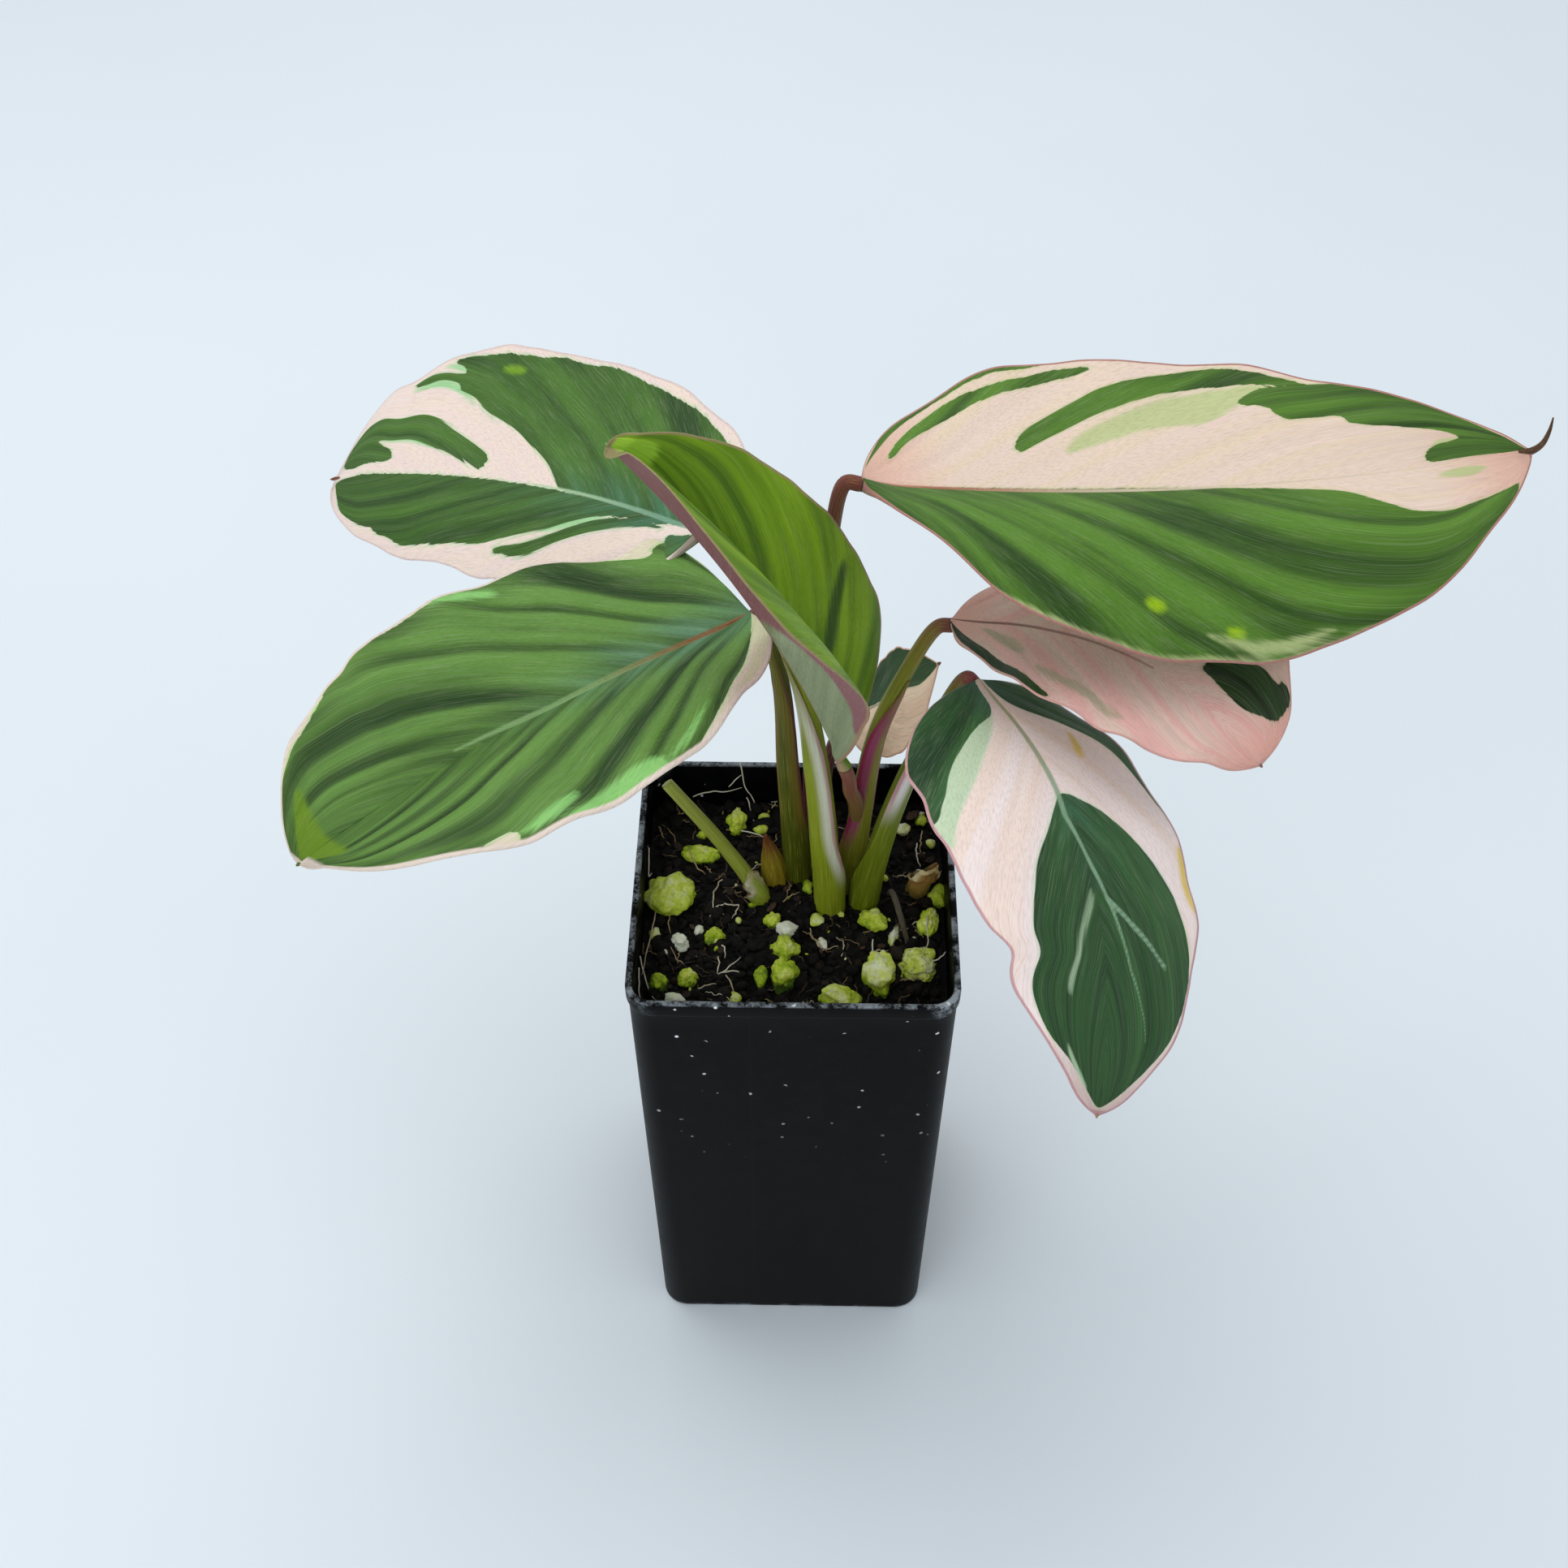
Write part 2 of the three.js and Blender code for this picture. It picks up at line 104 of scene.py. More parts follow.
def cells(tree, place, scale):
    return add_node(tree, "TexVoronoi", {"Vector": place, "Scale": scale}).outputs["Distance"]


def new_material(name):
    """Starts a material; returns it with its node tree and its surface shader."""
    material = bpy.data.materials.new(name)
    material.use_nodes = True
    return material, material.node_tree, material.node_tree.nodes["Principled BSDF"]


def connect(tree, surface, **feeds):
    """Feeds sockets into the surface shader; Height goes through a bump of one millimetre."""
    names = {"colour": "Base Color", "rough": "Roughness"}
    for name, socket in feeds.items():
        if name == "height":
            bump = add_node(tree, "Bump", {"Height": socket, "Distance": MM, "Strength": 1.0})
            tree.links.new(bump.outputs[0], surface.inputs["Normal"])
        else:
            tree.links.new(socket, surface.inputs[names[name]])


def object_place(tree):
    """Place on the object in millimetres."""
    place = add_node(tree, "TexCoord").outputs["Object"]
    return add_node(tree, "VectorMath", {0: place, "Scale": 1 / MM}, operation="SCALE").outputs[0]


sheet_look, tree, surface = new_material("floor_sheet")
drift = cloud(tree, object_place(tree), 0.004, 3.0)
connect(tree, surface, colour=tint(tree, drift, paint(FLOOR_PALE), paint(FLOOR_GREY)))
surface.inputs["Roughness"].default_value = 0.85
sheet_mesh = bpy.data.meshes.new("floor_sheet")
edge = FLOOR_SIZE / 2
sheet_mesh.from_pydata([(-edge, -edge, 0), (edge, -edge, 0), (edge, edge, 0), (-edge, edge, 0)], [],
                       [(0, 1, 2, 3)])
sheet_mesh.materials.append(sheet_look)
sheet = bpy.data.objects.new("floor_sheet", sheet_mesh)
bpy.context.collection.objects.link(sheet)

camera_data = bpy.data.cameras.new("photo_camera")
camera_data.lens = CAMERA_LENS
camera = bpy.data.objects.new("photo_camera", camera_data)
camera.location = CAMERA_PLACE
camera.rotation_euler = (math.radians(CAMERA_PITCH), 0, math.radians(CAMERA_HEADING))
bpy.context.collection.objects.link(camera)
bpy.context.scene.camera = camera


def soft_light(name, place, power, colour):
    data = bpy.data.lights.new(name, "AREA")
    data.size = WINDOW_SIZE
    data.energy = power
    data.color = paint(colour)[:3]
    light = bpy.data.objects.new(name, data)
    light.location = place
    light.rotation_euler = (Vector(LIGHT_AIM) - Vector(place)).to_track_quat("-Z", "Y").to_euler()
    bpy.context.collection.objects.link(light)


soft_light("window_above", (-0.25, 0.3, 1.15), 4.4, "FFFFFF")
soft_light("window_front", (-0.6, -1.0, 0.7), 3.0, "F4F8FF")
sky = bpy.data.worlds.new("studio_sky")
sky.use_nodes = True
sky.node_tree.nodes["Background"].inputs["Color"].default_value = paint(SKY_PALE)
sky.node_tree.nodes["Background"].inputs["Strength"].default_value = SKY_STRENGTH
bpy.context.scene.world = sky
bpy.context.scene.view_settings.view_transform = "Standard"


# Nursery pot. One thin injection-moulded shell of black polypropylene, square and tapered, with
# a band under its rim and four drain holes in its floor. Handling has scuffed its rim and corners;
# the grey along the top of the lip is partly those scuffs and partly a painted highlight, and the
# broad lighter blotches on the black are a painted sheen.
POT_HEIGHT = 130
RIM_WIDTH = 70
BASE_WIDTH = 64.5
WALL = 1.0
FLOOR = 1.6
LIP_OUT = 0.5
RIM_CORNER = 5.5
BASE_CORNER = 6
DRAIN_RADIUS = 4
DRAIN_OFFSET = 19
CORNER_STEPS = 12
SIDE_STEPS = 10
# Rings of the wall: up its outside, over its lip and down its inside. Height and inset in mm
POT_RINGS = [
    (0, 1.4), (0.1, 0.75), (0.4, 0.3), (0.8, 0.05), (1.6, 0), (30, 0), (60, 0), (90, 0), (120, 0),
    (125.2, 0), (125.6, -0.06), (125.9, -0.3), (126.2, -0.45), (126.6, -0.5), (129.2, -0.5),
    (129.6, -0.44),
    (129.85, -0.28), (129.97, -0.05), (130, 0.2), (129.97, 0.5), (129.85, 0.76), (129.6, 0.93),
    (129.2, 1.0),
    (124, 1.0), (90, 1.0), (60, 1.0), (30, 1.0), (3, 1.0), (2.2, 1.15), (1.75, 1.5), (1.6, 2.1),
]
POT_BLACK = "030304"
# Lighter black of the painted sheen
POT_SHEEN = "0B0C0E"
# Grey of the scuffs, also used for the painted highlight along the top of the lip
SCUFF_AND_HIGHLIGHT_GREY = "A4ABB2"
CHIP_WHITE = "E6EAEC"


def corner_point(half, corner, turn, part):
    """Point at a share of the arc round one of the four rounded corners of a square."""
    turn = turn % 4
    angle = math.radians(90 * (turn + part))
    cross = half - corner
    x = cross * (1 if turn in (0, 3) else -1) + corner * math.cos(angle)
    y = cross * (1 if turn in (0, 1) else -1) + corner * math.sin(angle)
    return x, y


def rounded_square(half, corner, z):
    """One ring of points, anticlockwise, of a square with rounded corners."""
    ring = []
    for turn in range(4):
        parts = [step / (CORNER_STEPS - 1) for step in range(CORNER_STEPS)]
        side = [corner_point(half, corner, turn, part) for part in parts]
        (start_x, start_y), (end_x, end_y) = side[-1], corner_point(half, corner, turn + 1, 0)
        for step in range(1, SIDE_STEPS):
            part = step / SIDE_STEPS
            side.append((start_x + part * (end_x - start_x), start_y + part * (end_y - start_y)))
        ring += [(x, y, z) for x, y in side]
    return ring


def wall_ring(z, inset):
    height = z / POT_HEIGHT
    width = BASE_WIDTH + height * (RIM_WIDTH - 2 * LIP_OUT - BASE_WIDTH)
    corner = BASE_CORNER + height * (RIM_CORNER - BASE_CORNER)
    return rounded_square(width / 2 - inset, corner - inset, z)


def grid_faces(rows, columns, closed=False, first=0, flip=False):
    """Quads between the rows of a grid of points; closed joins its last column to its first."""
    faces = []
    for row in range(rows - 1):
        for column in range(columns if closed else columns - 1):
            a = first + row * columns + column
            b = first + row * columns + (column + 1) % columns
            quad = (a, b, b + columns, a + columns)
            faces.append(quad[::-1] if flip else quad)
    return faces


def make_mesh(name, points, faces, looks):
    """Mesh object from points in millimetres, smooth, with its list of materials."""
    mesh = bpy.data.meshes.new(name)
    mesh.from_pydata((np.asarray(points, dtype=float) * MM).tolist(), [], faces)
    mesh.shade_smooth()
    for look in looks:
        mesh.materials.append(look)
    made = bpy.data.objects.new(name, mesh)
    bpy.context.collection.objects.link(made)
    return made


def settle(made, slot, *nodes):
    """Fixes a piece to the plant and hides the solids that it stands for. Its slot is not used."""
    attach(made, "root")
    if nodes:
        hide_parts(*nodes)


plastic, tree, surface = new_material("black_moulded_plastic")
place = object_place(tree)
spot = add_node(tree, "SeparateXYZ", {0: place}).outputs
side_x = calc(tree, "ABSOLUTE", spot["X"])
side_y = calc(tree, "ABSOLUTE", spot["Y"])
blotch = cloud(tree, place, 0.22, 4.0, 0.6)
scratch = cloud(tree, place, 1.6, 4.0, 0.7)
pores = cloud(tree, place, 6.0, 2.0)
# Grey along the top of the lip: partly real scuffs, partly a painted highlight.
rim = ease(tree, spot["Z"], 129.3, 129.95)
corner = calc(tree, "MULTIPLY", ease(tree, calc(tree, "MINIMUM", side_x, side_y), 27.5, 32.5),
              ease(tree, spot["Z"], 123.5, 127))
foot = ease(tree, spot["Z"], 2.2, 0.2)
near_right = ease(tree, calc(tree, "SUBTRACT", spot["X"], spot["Y"]), 58, 64)
lip_wear = calc(tree, "ADD", 0.25, calc(tree, "MULTIPLY", near_right, 0.6))
worn_lip = calc(tree, "MULTIPLY", corner, lip_wear)
wear_and_rim_highlight = calc(tree, "ADD", calc(tree, "ADD", calc(tree, "MULTIPLY", rim, 0.75), worn_lip),
            calc(tree, "MULTIPLY", foot, 0.6))
scraped = calc(tree, "ADD", blotch, calc(tree, "MULTIPLY", scratch, 0.5))
scuffs_and_rim_highlight = calc(tree, "MULTIPLY", wear_and_rim_highlight, ease(tree, scraped, 0.66, 0.92))
chips = calc(tree, "MULTIPLY", ease(tree, cells(tree, place, 0.32), 0.17, 0.1),
             ease(tree, blotch, 0.56, 0.6))
chips = calc(tree, "MULTIPLY", chips, ease(tree, spot["Z"], 60, 126))
seam = calc(tree, "MULTIPLY", ease(tree, calc(tree, "ABSOLUTE", calc(tree, "ADD", spot["X"], 9)), 0.35,
                                   0.05),
            ease(tree, spot["Y"], -31, -32))
seam = calc(tree, "MULTIPLY", seam, ease(tree, scratch, 0.4, 0.6))
# Painted sheen: broad blotches of a lighter black; the mould seam on the front takes the same lighter
# tone.
film = calc(tree, "ADD", ease(tree, blotch, 0.35, 0.75), calc(tree, "MULTIPLY", seam, 1.2))
colour = tint(tree, film, paint(POT_BLACK), paint(POT_SHEEN))
colour = tint(tree, scuffs_and_rim_highlight, colour, paint(SCUFF_AND_HIGHLIGHT_GREY))
colour = tint(tree, chips, colour, paint(CHIP_WHITE))
rough = calc(tree, "ADD", calc(tree, "ADD", 0.34, calc(tree, "MULTIPLY", blotch, 0.2)),
             calc(tree, "MULTIPLY", scuffs_and_rim_highlight, 0.3))
height = calc(tree, "ADD", calc(tree, "MULTIPLY", pores, 0.02), calc(tree, "MULTIPLY", scuffs_and_rim_highlight, 0.05))
connect(tree, surface, colour=colour, rough=rough, height=height)
surface.inputs["Specular IOR Level"].default_value = 0.06

rings = [wall_ring(z, inset) for z, inset in POT_RINGS]
ring_size = len(rings[0])
pot_faces = grid_faces(len(rings), ring_size, closed=True)
pot_faces.append(tuple(range(ring_size))[::-1])
pot_faces.append(tuple(range((len(rings) - 1) * ring_size, len(rings) * ring_size)))
pot = make_mesh("pot_shell", [point for ring in rings for point in ring], pot_faces, [plastic])

drill_points = []
drill_faces = []
for x in (-DRAIN_OFFSET, DRAIN_OFFSET):
    for y in (-DRAIN_OFFSET, DRAIN_OFFSET):
        first = len(drill_points)
        for z in (-2, FLOOR + 2):
            for step in range(24):
                angle = 2 * math.pi * step / 24
                drill_points.append((x + DRAIN_RADIUS * math.cos(angle),
                                     y + DRAIN_RADIUS * math.sin(angle), z))
        drill_faces += grid_faces(2, 24, closed=True, first=first)
        drill_faces += [tuple(range(first, first + 24))[::-1], tuple(range(first + 24, first + 48))]
drill = make_mesh("drain_drill", drill_points, drill_faces, [plastic])
cut = pot.modifiers.new("drain_holes", "BOOLEAN")
cut.object = drill
cut.solver = "EXACT"
drilled = bpy.data.meshes.new_from_object(pot.evaluated_get(bpy.context.evaluated_depsgraph_get()))
pot.modifiers.clear()
pot.data = drilled
bpy.data.objects.remove(drill)
pot.data.shade_smooth()
pot.data.set_sharp_from_angle(angle=math.radians(40))
settle(pot, "black_plastic", "nursery_pot")


# Potting mix. Moist dark peat with fine fibre fills the pot to 12 mm under its rim. Its top is a
# bed of crumbs pressed by hand, with bits of bark, pale living roots and small perlite crumbs.
SOIL_TOP = 118
SOIL_HALF = 33.15
SOIL_FOOT_HALF = 31.1
SOIL_LUMP = 0.7
SOIL_STEPS = 170
SOIL_ROUGH = 0.75
CRUMBS = 1500
BARK_BITS = 70
GRIT_BITS = 46
PEAT_BLACK = "050403"
PEAT_BROWN = "130D09"
PEAT_RUST = "3A2417"


def soil_height(x, y):
    lumps = math.sin(0.31 * x + 0.8) * math.cos(0.27 * y - 0.4) + 0.6 * math.sin(0.62 * x - 0.5 * y)
    crown = 1.2 * math.exp(-((x - 5) ** 2 + (y - 6) ** 2) / 300)
    return SOIL_TOP + SOIL_LUMP * lumps + crown


def soil_place(a, b, half, corner):
    """Place on the soil of a point a, b of a square from -1 to 1, with the square's corners rounded."""
    x, y = half * a, half * b
    flat = half - corner
    if abs(x) > flat and abs(y) > flat:
        p = (abs(x) - flat) / corner
        q = (abs(y) - flat) / corner
        x = math.copysign(flat + corner * p * math.sqrt(1 - q * q / 2), x)
        y = math.copysign(flat + corner * q * math.sqrt(1 - p * p / 2), y)
    return x, y


def store(made, name, values):
    """Keeps a number, or three, at every point of a piece for its material."""
    values = np.asarray(values, dtype=np.float32)
    kind = "FLOAT_VECTOR" if values.ndim == 2 else "FLOAT"
    layer = made.data.attributes.new(name, kind, "POINT")
    layer.data.foreach_set("vector" if values.ndim == 2 else "value", values.ravel())


def stored(tree, name, output="Fac"):
    return add_node(tree, "Attribute", attribute_name=name).outputs[output]


def effect(name, inputs, outputs):
    """Starts a shader node group with named inputs and outputs; returns it and its two ends."""
    tree = bpy.data.node_groups.new(name, "ShaderNodeTree")
    for way, labels in (("INPUT", inputs), ("OUTPUT", outputs)):
        for label, kind in labels.items():
            tree.interface.new_socket(name=label, in_out=way, socket_type="NodeSocket" + kind)
    return tree, tree.nodes.new("NodeGroupInput").outputs, tree.nodes.new("NodeGroupOutput").inputs


def apply_effect(tree, group, feeds):
    """Places a node group in a material and returns its outputs."""
    node = add_node(tree, "Group", node_tree=group)
    for name, value in feeds.items():
        if isinstance(value, bpy.types.NodeSocket):
            tree.links.new(value, node.inputs[name])
        else:
            node.inputs[name].default_value = value
    return node.outputs


peat_dust, given, gives = effect(
    "peat_dust", {"Place": "Vector", "Colour": "Color", "Amount": "Float"},
    {"Colour": "Color", "Mask": "Float"})
specks = ease(peat_dust, cloud(peat_dust, given["Place"], 1.3, 5.0, 0.75), 0.54, 0.62)
mask = calc(peat_dust, "MULTIPLY", specks, given["Amount"])
dusted = tint(peat_dust, mask, given["Colour"], paint(PEAT_BLACK))
peat_dust.links.new(dusted, gives["Colour"])
peat_dust.links.new(mask, gives["Mask"])

peat, tree, surface = new_material("moist_peat")
place = object_place(tree)
tone = stored(tree, "tone")
coarse = cloud(tree, place, 0.5, 5.0, 0.7)
fine = cloud(tree, place, 2.6, 5.0, 0.75)
colour = tint(tree, ease(tree, calc(tree, "ADD", coarse, calc(tree, "MULTIPLY", tone, 0.35)), 0.45,
                         0.95),
              paint(PEAT_BLACK), paint(PEAT_BROWN))
colour = tint(tree, ease(tree, calc(tree, "MULTIPLY", tone, fine), 0.42, 0.6), colour, paint(PEAT_RUST))
rough = ease(tree, fine, 0.2, 0.9)
connect(tree, surface, colour=colour, rough=calc(tree, "ADD", 0.5, calc(tree, "MULTIPLY", rough, 0.5)),
        height=calc(tree, "ADD", calc(tree, "MULTIPLY", fine, 0.5),
                    calc(tree, "MULTIPLY", coarse, 0.6)))
surface.inputs["Specular IOR Level"].default_value = 0.3

soil_points = []
for row in range(SOIL_STEPS + 1):
    for column in range(SOIL_STEPS + 1):
        x, y = soil_place(2 * column / SOIL_STEPS - 1, 2 * row / SOIL_STEPS - 1, SOIL_HALF,
                          RIM_CORNER - WALL)
        rise = noise.fractal(Vector((x * 0.42, y * 0.42, 3)), 0.9, 2.1, 4) * SOIL_ROUGH
        rise += abs(noise.noise(Vector((x * 1.1, y * 1.1, 9)))) * 0.7
        soil_points.append((x, y, soil_height(x, y) + rise - 0.4))
soil_faces = grid_faces(SOIL_STEPS + 1, SOIL_STEPS + 1)
border = [(column, 0) for column in range(SOIL_STEPS)]
border += [(SOIL_STEPS, row) for row in range(SOIL_STEPS)]
border += [(SOIL_STEPS - column, SOIL_STEPS) for column in range(SOIL_STEPS)]
border += [(0, SOIL_STEPS - row) for row in range(SOIL_STEPS)]
top_edge = [row * (SOIL_STEPS + 1) + column for column, row in border]
low_edge = list(range(len(soil_points), len(soil_points) + len(top_edge)))
for column, row in border:
    x, y = soil_place(2 * column / SOIL_STEPS - 1, 2 * row / SOIL_STEPS - 1, SOIL_FOOT_HALF,
                      BASE_CORNER - WALL)
    soil_points.append((x, y, FLOOR + 0.2))
for i in range(len(border)):
    j = (i + 1) % len(border)
    soil_faces.append((top_edge[i], low_edge[i], low_edge[j], top_edge[j]))
soil_faces.append(tuple(low_edge[::-1]))
soil = make_mesh("peat_bed", soil_points, soil_faces, [peat])
store(soil, "tone", [0.35] * len(soil_points))
settle(soil, "peat", "potting_mix")


def ball(turns):
    """Points and faces of a round ball of radius one, from an icosahedron cut turns times."""
    made = bpy.data.meshes.new("ball")
    shape = bmesh.new()
    bmesh.ops.create_icosphere(shape, subdivisions=turns, radius=1)
    shape.to_mesh(made)
    shape.free()
    points = np.array([vertex.co[:] for vertex in made.vertices])
    faces = np.array([face.vertices[:] for face in made.polygons])
    bpy.data.meshes.remove(made)
    return points, faces


def scatter(name, count, seed, sizes, flat, rough, sink, looks, spread=32):
    """Strews small rough lumps over the soil; each keeps its own tone from 0 to 1."""
    dice = random.Random(seed)
    shape, shape_faces = ball(2)
    points, faces, tones = [], [], []
    for lump in range(count):
        x, y = dice.uniform(-spread, spread), dice.uniform(-spread, spread)
        size = sizes[0] + (sizes[1] - sizes[0]) * dice.random() ** 2.5
        scale = np.array([size, size * dice.uniform(0.5, 1), size * dice.uniform(*flat)])
        turn = np.array(Euler([dice.uniform(-0.5, 0.5), dice.uniform(-0.5, 0.5),
                               dice.uniform(0, 6.3)]).to_matrix())
        waves = np.array([dice.uniform(1.5, 3.5) for part in range(3)])
        shift = np.array([dice.uniform(0, 6.3) for part in range(3)])
        bumps = np.sin(shape * waves + shift).sum(1) / 3
        lump_points = (shape * (1 + rough * bumps)[:, None] * scale) @ turn.T
        z = soil_height(x, y) + size * sink
        faces.append(shape_faces + len(points) * len(shape))
        points.append(lump_points + [x, y, z])
        tones += [dice.random()] * len(shape)
    made = make_mesh(name, np.vstack(points), np.vstack(faces).tolist(), looks)
    store(made, "tone", tones)
    return made


crumbs = scatter("peat_crumbs", CRUMBS, 11, (0.45, 1.7), (0.45, 0.9), 0.35, 0.15, [peat])
settle(crumbs, "peat")

bark, tree, surface = new_material("bark_bits")
place = object_place(tree)
tone = stored(tree, "tone")
fibre = cloud(tree, add_node(tree, "VectorMath", {0: place, 1: (3, 0.6, 2)},
                             operation="MULTIPLY").outputs[0], 1.2, 4.0)
colour = tint(tree, ease(tree, tone, 0.3, 1.0), paint("2B1A12"), paint("6A4A38"))
colour = tint(tree, ease(tree, fibre, 0.35, 0.75), colour, paint("1C110C"))
connect(tree, surface, colour=colour, height=calc(tree, "MULTIPLY", fibre, 0.5))
surface.inputs["Roughness"].default_value = 0.8
bark_bits = scatter("bark_bits", BARK_BITS, 23, (0.7, 2.4), (0.15, 0.35), 0.3, 0.35, [bark])
settle(bark_bits, "peat")


# Perlite. Fifteen large grains of expanded volcanic glass and a sprinkle of small ones lie half
# sunk in the mix. They are white and pitted, and algae have turned most of them yellow-green.
# Place of each large grain on the mix, its size and its turn, in mm and degrees
GRAINS = [
    (-27.5, 3.5, (10.5, 10, 7), 20), (-21.5, 16, (8, 5, 4), -10), (-13.5, 25.5, (4.5, 6.5, 5), 0),
    (-2, -11, (5.5, 6.5, 5.5), 10), (-2, -19, (6, 7.5, 6), -15), (-4.8, -3.3, (4, 3.6, 3.4), 30),
    (18.5, -18.5, (7, 10, 7.5), 12), (9.8, -24.5, (8.5, 6.5, 5.5), -5), (17.5, -3, (6, 5, 4.5), -25),
    (29.5, -3.5, (4, 7, 5), -12), (27, -15, (8.5, 8, 5), 35), (-29, -20, (4.2, 4.4, 3.6), 0),
    (-22.8, -19.5, (4.2, 4, 3.8), 40), (-17.5, -7, (4.2, 3.8, 3.4), 15),
    (-25, -10, (4.4, 3.6, 3.2), -30),
]
GRAIN_RISE = 0.22
GRAIN_ROUGH = 0.1
# How green each grain is, and how much peat clings to it
GRAIN_MOSS = [0.55, 0.75, 0.65, 0.7, 0.8, 0.75, 0.55, 0.6, 0.65, 0.65, 0.5, 1.0, 0.65, 0.75, 0.0]
GRAIN_DIRT = [0.45, 0.8, 0.4, 0.5, 0.6, 0.4, 0.2, 0.25, 0.7, 0.5, 1.2, 0.8, 0.9, 0.4, 0.15]

algae_film, given, gives = effect(
    "algae_film", {"Place": "Vector", "Moss": "Float"}, {"Colour": "Color", "Height": "Float"})
wide = cloud(algae_film, given["Place"], 0.28, 3.0, 0.6)
close = cloud(algae_film, given["Place"], 1.4, 4.0, 0.65)
growth = calc(algae_film, "ADD", calc(algae_film, "ADD", wide,
                                      calc(algae_film, "MULTIPLY", close, 0.5)), given["Moss"])
colour = tint(algae_film, ease(algae_film, growth, 0.85, 1.25), paint("FAFAE4"), paint("DCE858"))
colour = tint(algae_film, ease(algae_film, growth, 1.15, 1.5), colour, paint("B4CE14"))
colour = tint(algae_film, ease(algae_film, growth, 1.42, 1.75), colour, paint("4E6E0A"))
pits = ease(algae_film, cells(algae_film, given["Place"], 1.5), 0.0, 0.35)
algae_film.links.new(colour, gives["Colour"])
height = calc(algae_film, "ADD", calc(algae_film, "MULTIPLY", pits, 0.12),
              calc(algae_film, "MULTIPLY", close, 0.35))
algae_film.links.new(height, gives["Height"])


def perlite_look(name):
    """Pitted white grain whose algae and peat dust follow the numbers stored on it."""
    look, tree, surface = new_material(name)
    place = object_place(tree)
    film = apply_effect(tree, algae_film, {"Place": place, "Moss": stored(tree, "moss")})
    dust = apply_effect(tree, peat_dust, {"Place": place, "Colour": film["Colour"],
                                          "Amount": stored(tree, "dirt")})
    connect(tree, surface, colour=dust["Colour"], height=film["Height"])
    surface.inputs["Roughness"].default_value = 0.62
    surface.inputs["Subsurface Weight"].default_value = 0.12
    surface.inputs["Subsurface Scale"].default_value = 0.001
    return look


# Smaller grains: place, size, turn, moss and dirt
CRUMB_GRAINS = [
    (-1.6, -6.2, (4.8, 4, 3.2), 10, 0.05, 0.3), (4.9, -3, (3.2, 3.4, 2.6), 0, 0.5, 0.3),
    (22, -6, (2.2, 5.6, 2), -20, 0.35, 0.2), (6.2, -9.2, (2, 3, 1.6), 15, 0.0, 0.5),
    (-6.9, -18.2, (3, 6, 2.6), 0, 0.95, 0.9), (32, 5, (4.6, 6, 3.6), 0, 0.8, 1.1),
    (2.8, 6.4, (2.8, 3.6, 2.4), 0, 0.75, 0.6), (-25.4, -24.8, (4.6, 3, 2.6), -20, 0.15, 0.6),
    (-30.6, -7, (2.2, 3, 1.8), 0, 0.5, 0.2), (10.3, -1.4, (1.6, 1.8, 1.3), 0, 0.5, 0.1),
    (-21, -5.8, (2, 2.6, 1.6), -30, -0.1, 0.1), (-8, 24, (3.6, 2.6, 2), 20, 0.7, 0.8),
    (-7.4, 28.5, (2.6, 2.2, 1.8), 0, 0.6, 0.5), (-27, -26.5, (2.4, 2, 1.6), 0, 0.6, 0.6),
    (-12.5, -24, (2.6, 3.4, 2), 30, 0.7, 0.8), (13.5, 25, (3, 2.4, 2), 0, 0.5, 0.5),
    (24.5, 24, (3.4, 3, 2.4), 0, 0.4, 0.6), (29, 28, (2.6, 3, 2), 0, 0.6, 0.4),
]


def grain_form(x, y, size, turn, points):
    """Ball points swollen into one rough grain that lies in its place on the mix."""
    p, q, r = points[:, 0] / 2, points[:, 1] / 2, points[:, 2] / 2
    bump = np.sin(7 * p + x) * np.sin(6 * q + y) + np.sin(8 * r + x - y)
    swell = 1 + GRAIN_ROUGH * bump
    for step, point in enumerate(points):
        swell[step] += 0.3 * noise.noise(Vector(point * 1.7 + [x, y, 0]))
        swell[step] += 0.12 * noise.noise(Vector(point * 4 + [y, x, 0]))
        swell[step] -= 0.1 * max(0, abs(noise.noise(Vector(point * 2.6 + [y, 0, x]))) - 0.25)
    form = points / 2 * swell[:, None] * size
    angle = math.radians(turn)
    spin = np.array([[math.cos(angle), math.sin(angle), 0], [-math.sin(angle), math.cos(angle), 0],
                     [0, 0, 1]])
    low = np.clip(0.5 - form[:, 2] / size[2], 0, 1)
    return form @ spin + [x, y, soil_height(x, y) + GRAIN_RISE * size[2]], low


perlite = perlite_look("algae_perlite")
grain_ball, grain_faces = ball(5)
for index, (x, y, size, turn) in enumerate(GRAINS):
    points, low = grain_form(x, y, size, turn, grain_ball)
    grain = make_mesh(f"perlite_grain_{index + 1:02d}", points, grain_faces.tolist(), [perlite])
    store(grain, "moss", GRAIN_MOSS[index] * (0.7 + 0.8 * low))
    store(grain, "dirt", GRAIN_DIRT[index] * (0.35 + 1.3 * low))
    settle(grain, "perlite", f"perlite_{index + 1:02d}")

crumb_ball, crumb_faces = ball(3)
points, faces, moss, dirt = [], [], [], []
for x, y, size, turn, green, soiled in CRUMB_GRAINS:
    form, low = grain_form(x, y, size, turn, crumb_ball)
    faces += (crumb_faces + len(points) * len(crumb_ball)).tolist()
    points.append(form)
    moss += list(green * (0.7 + 0.8 * low))
    dirt += list(soiled * (0.35 + 1.3 * low))
small_grains = make_mesh("perlite_small_grains", np.vstack(points), faces, [perlite])
store(small_grains, "moss", moss)
store(small_grains, "dirt", dirt)
settle(small_grains, "perlite")

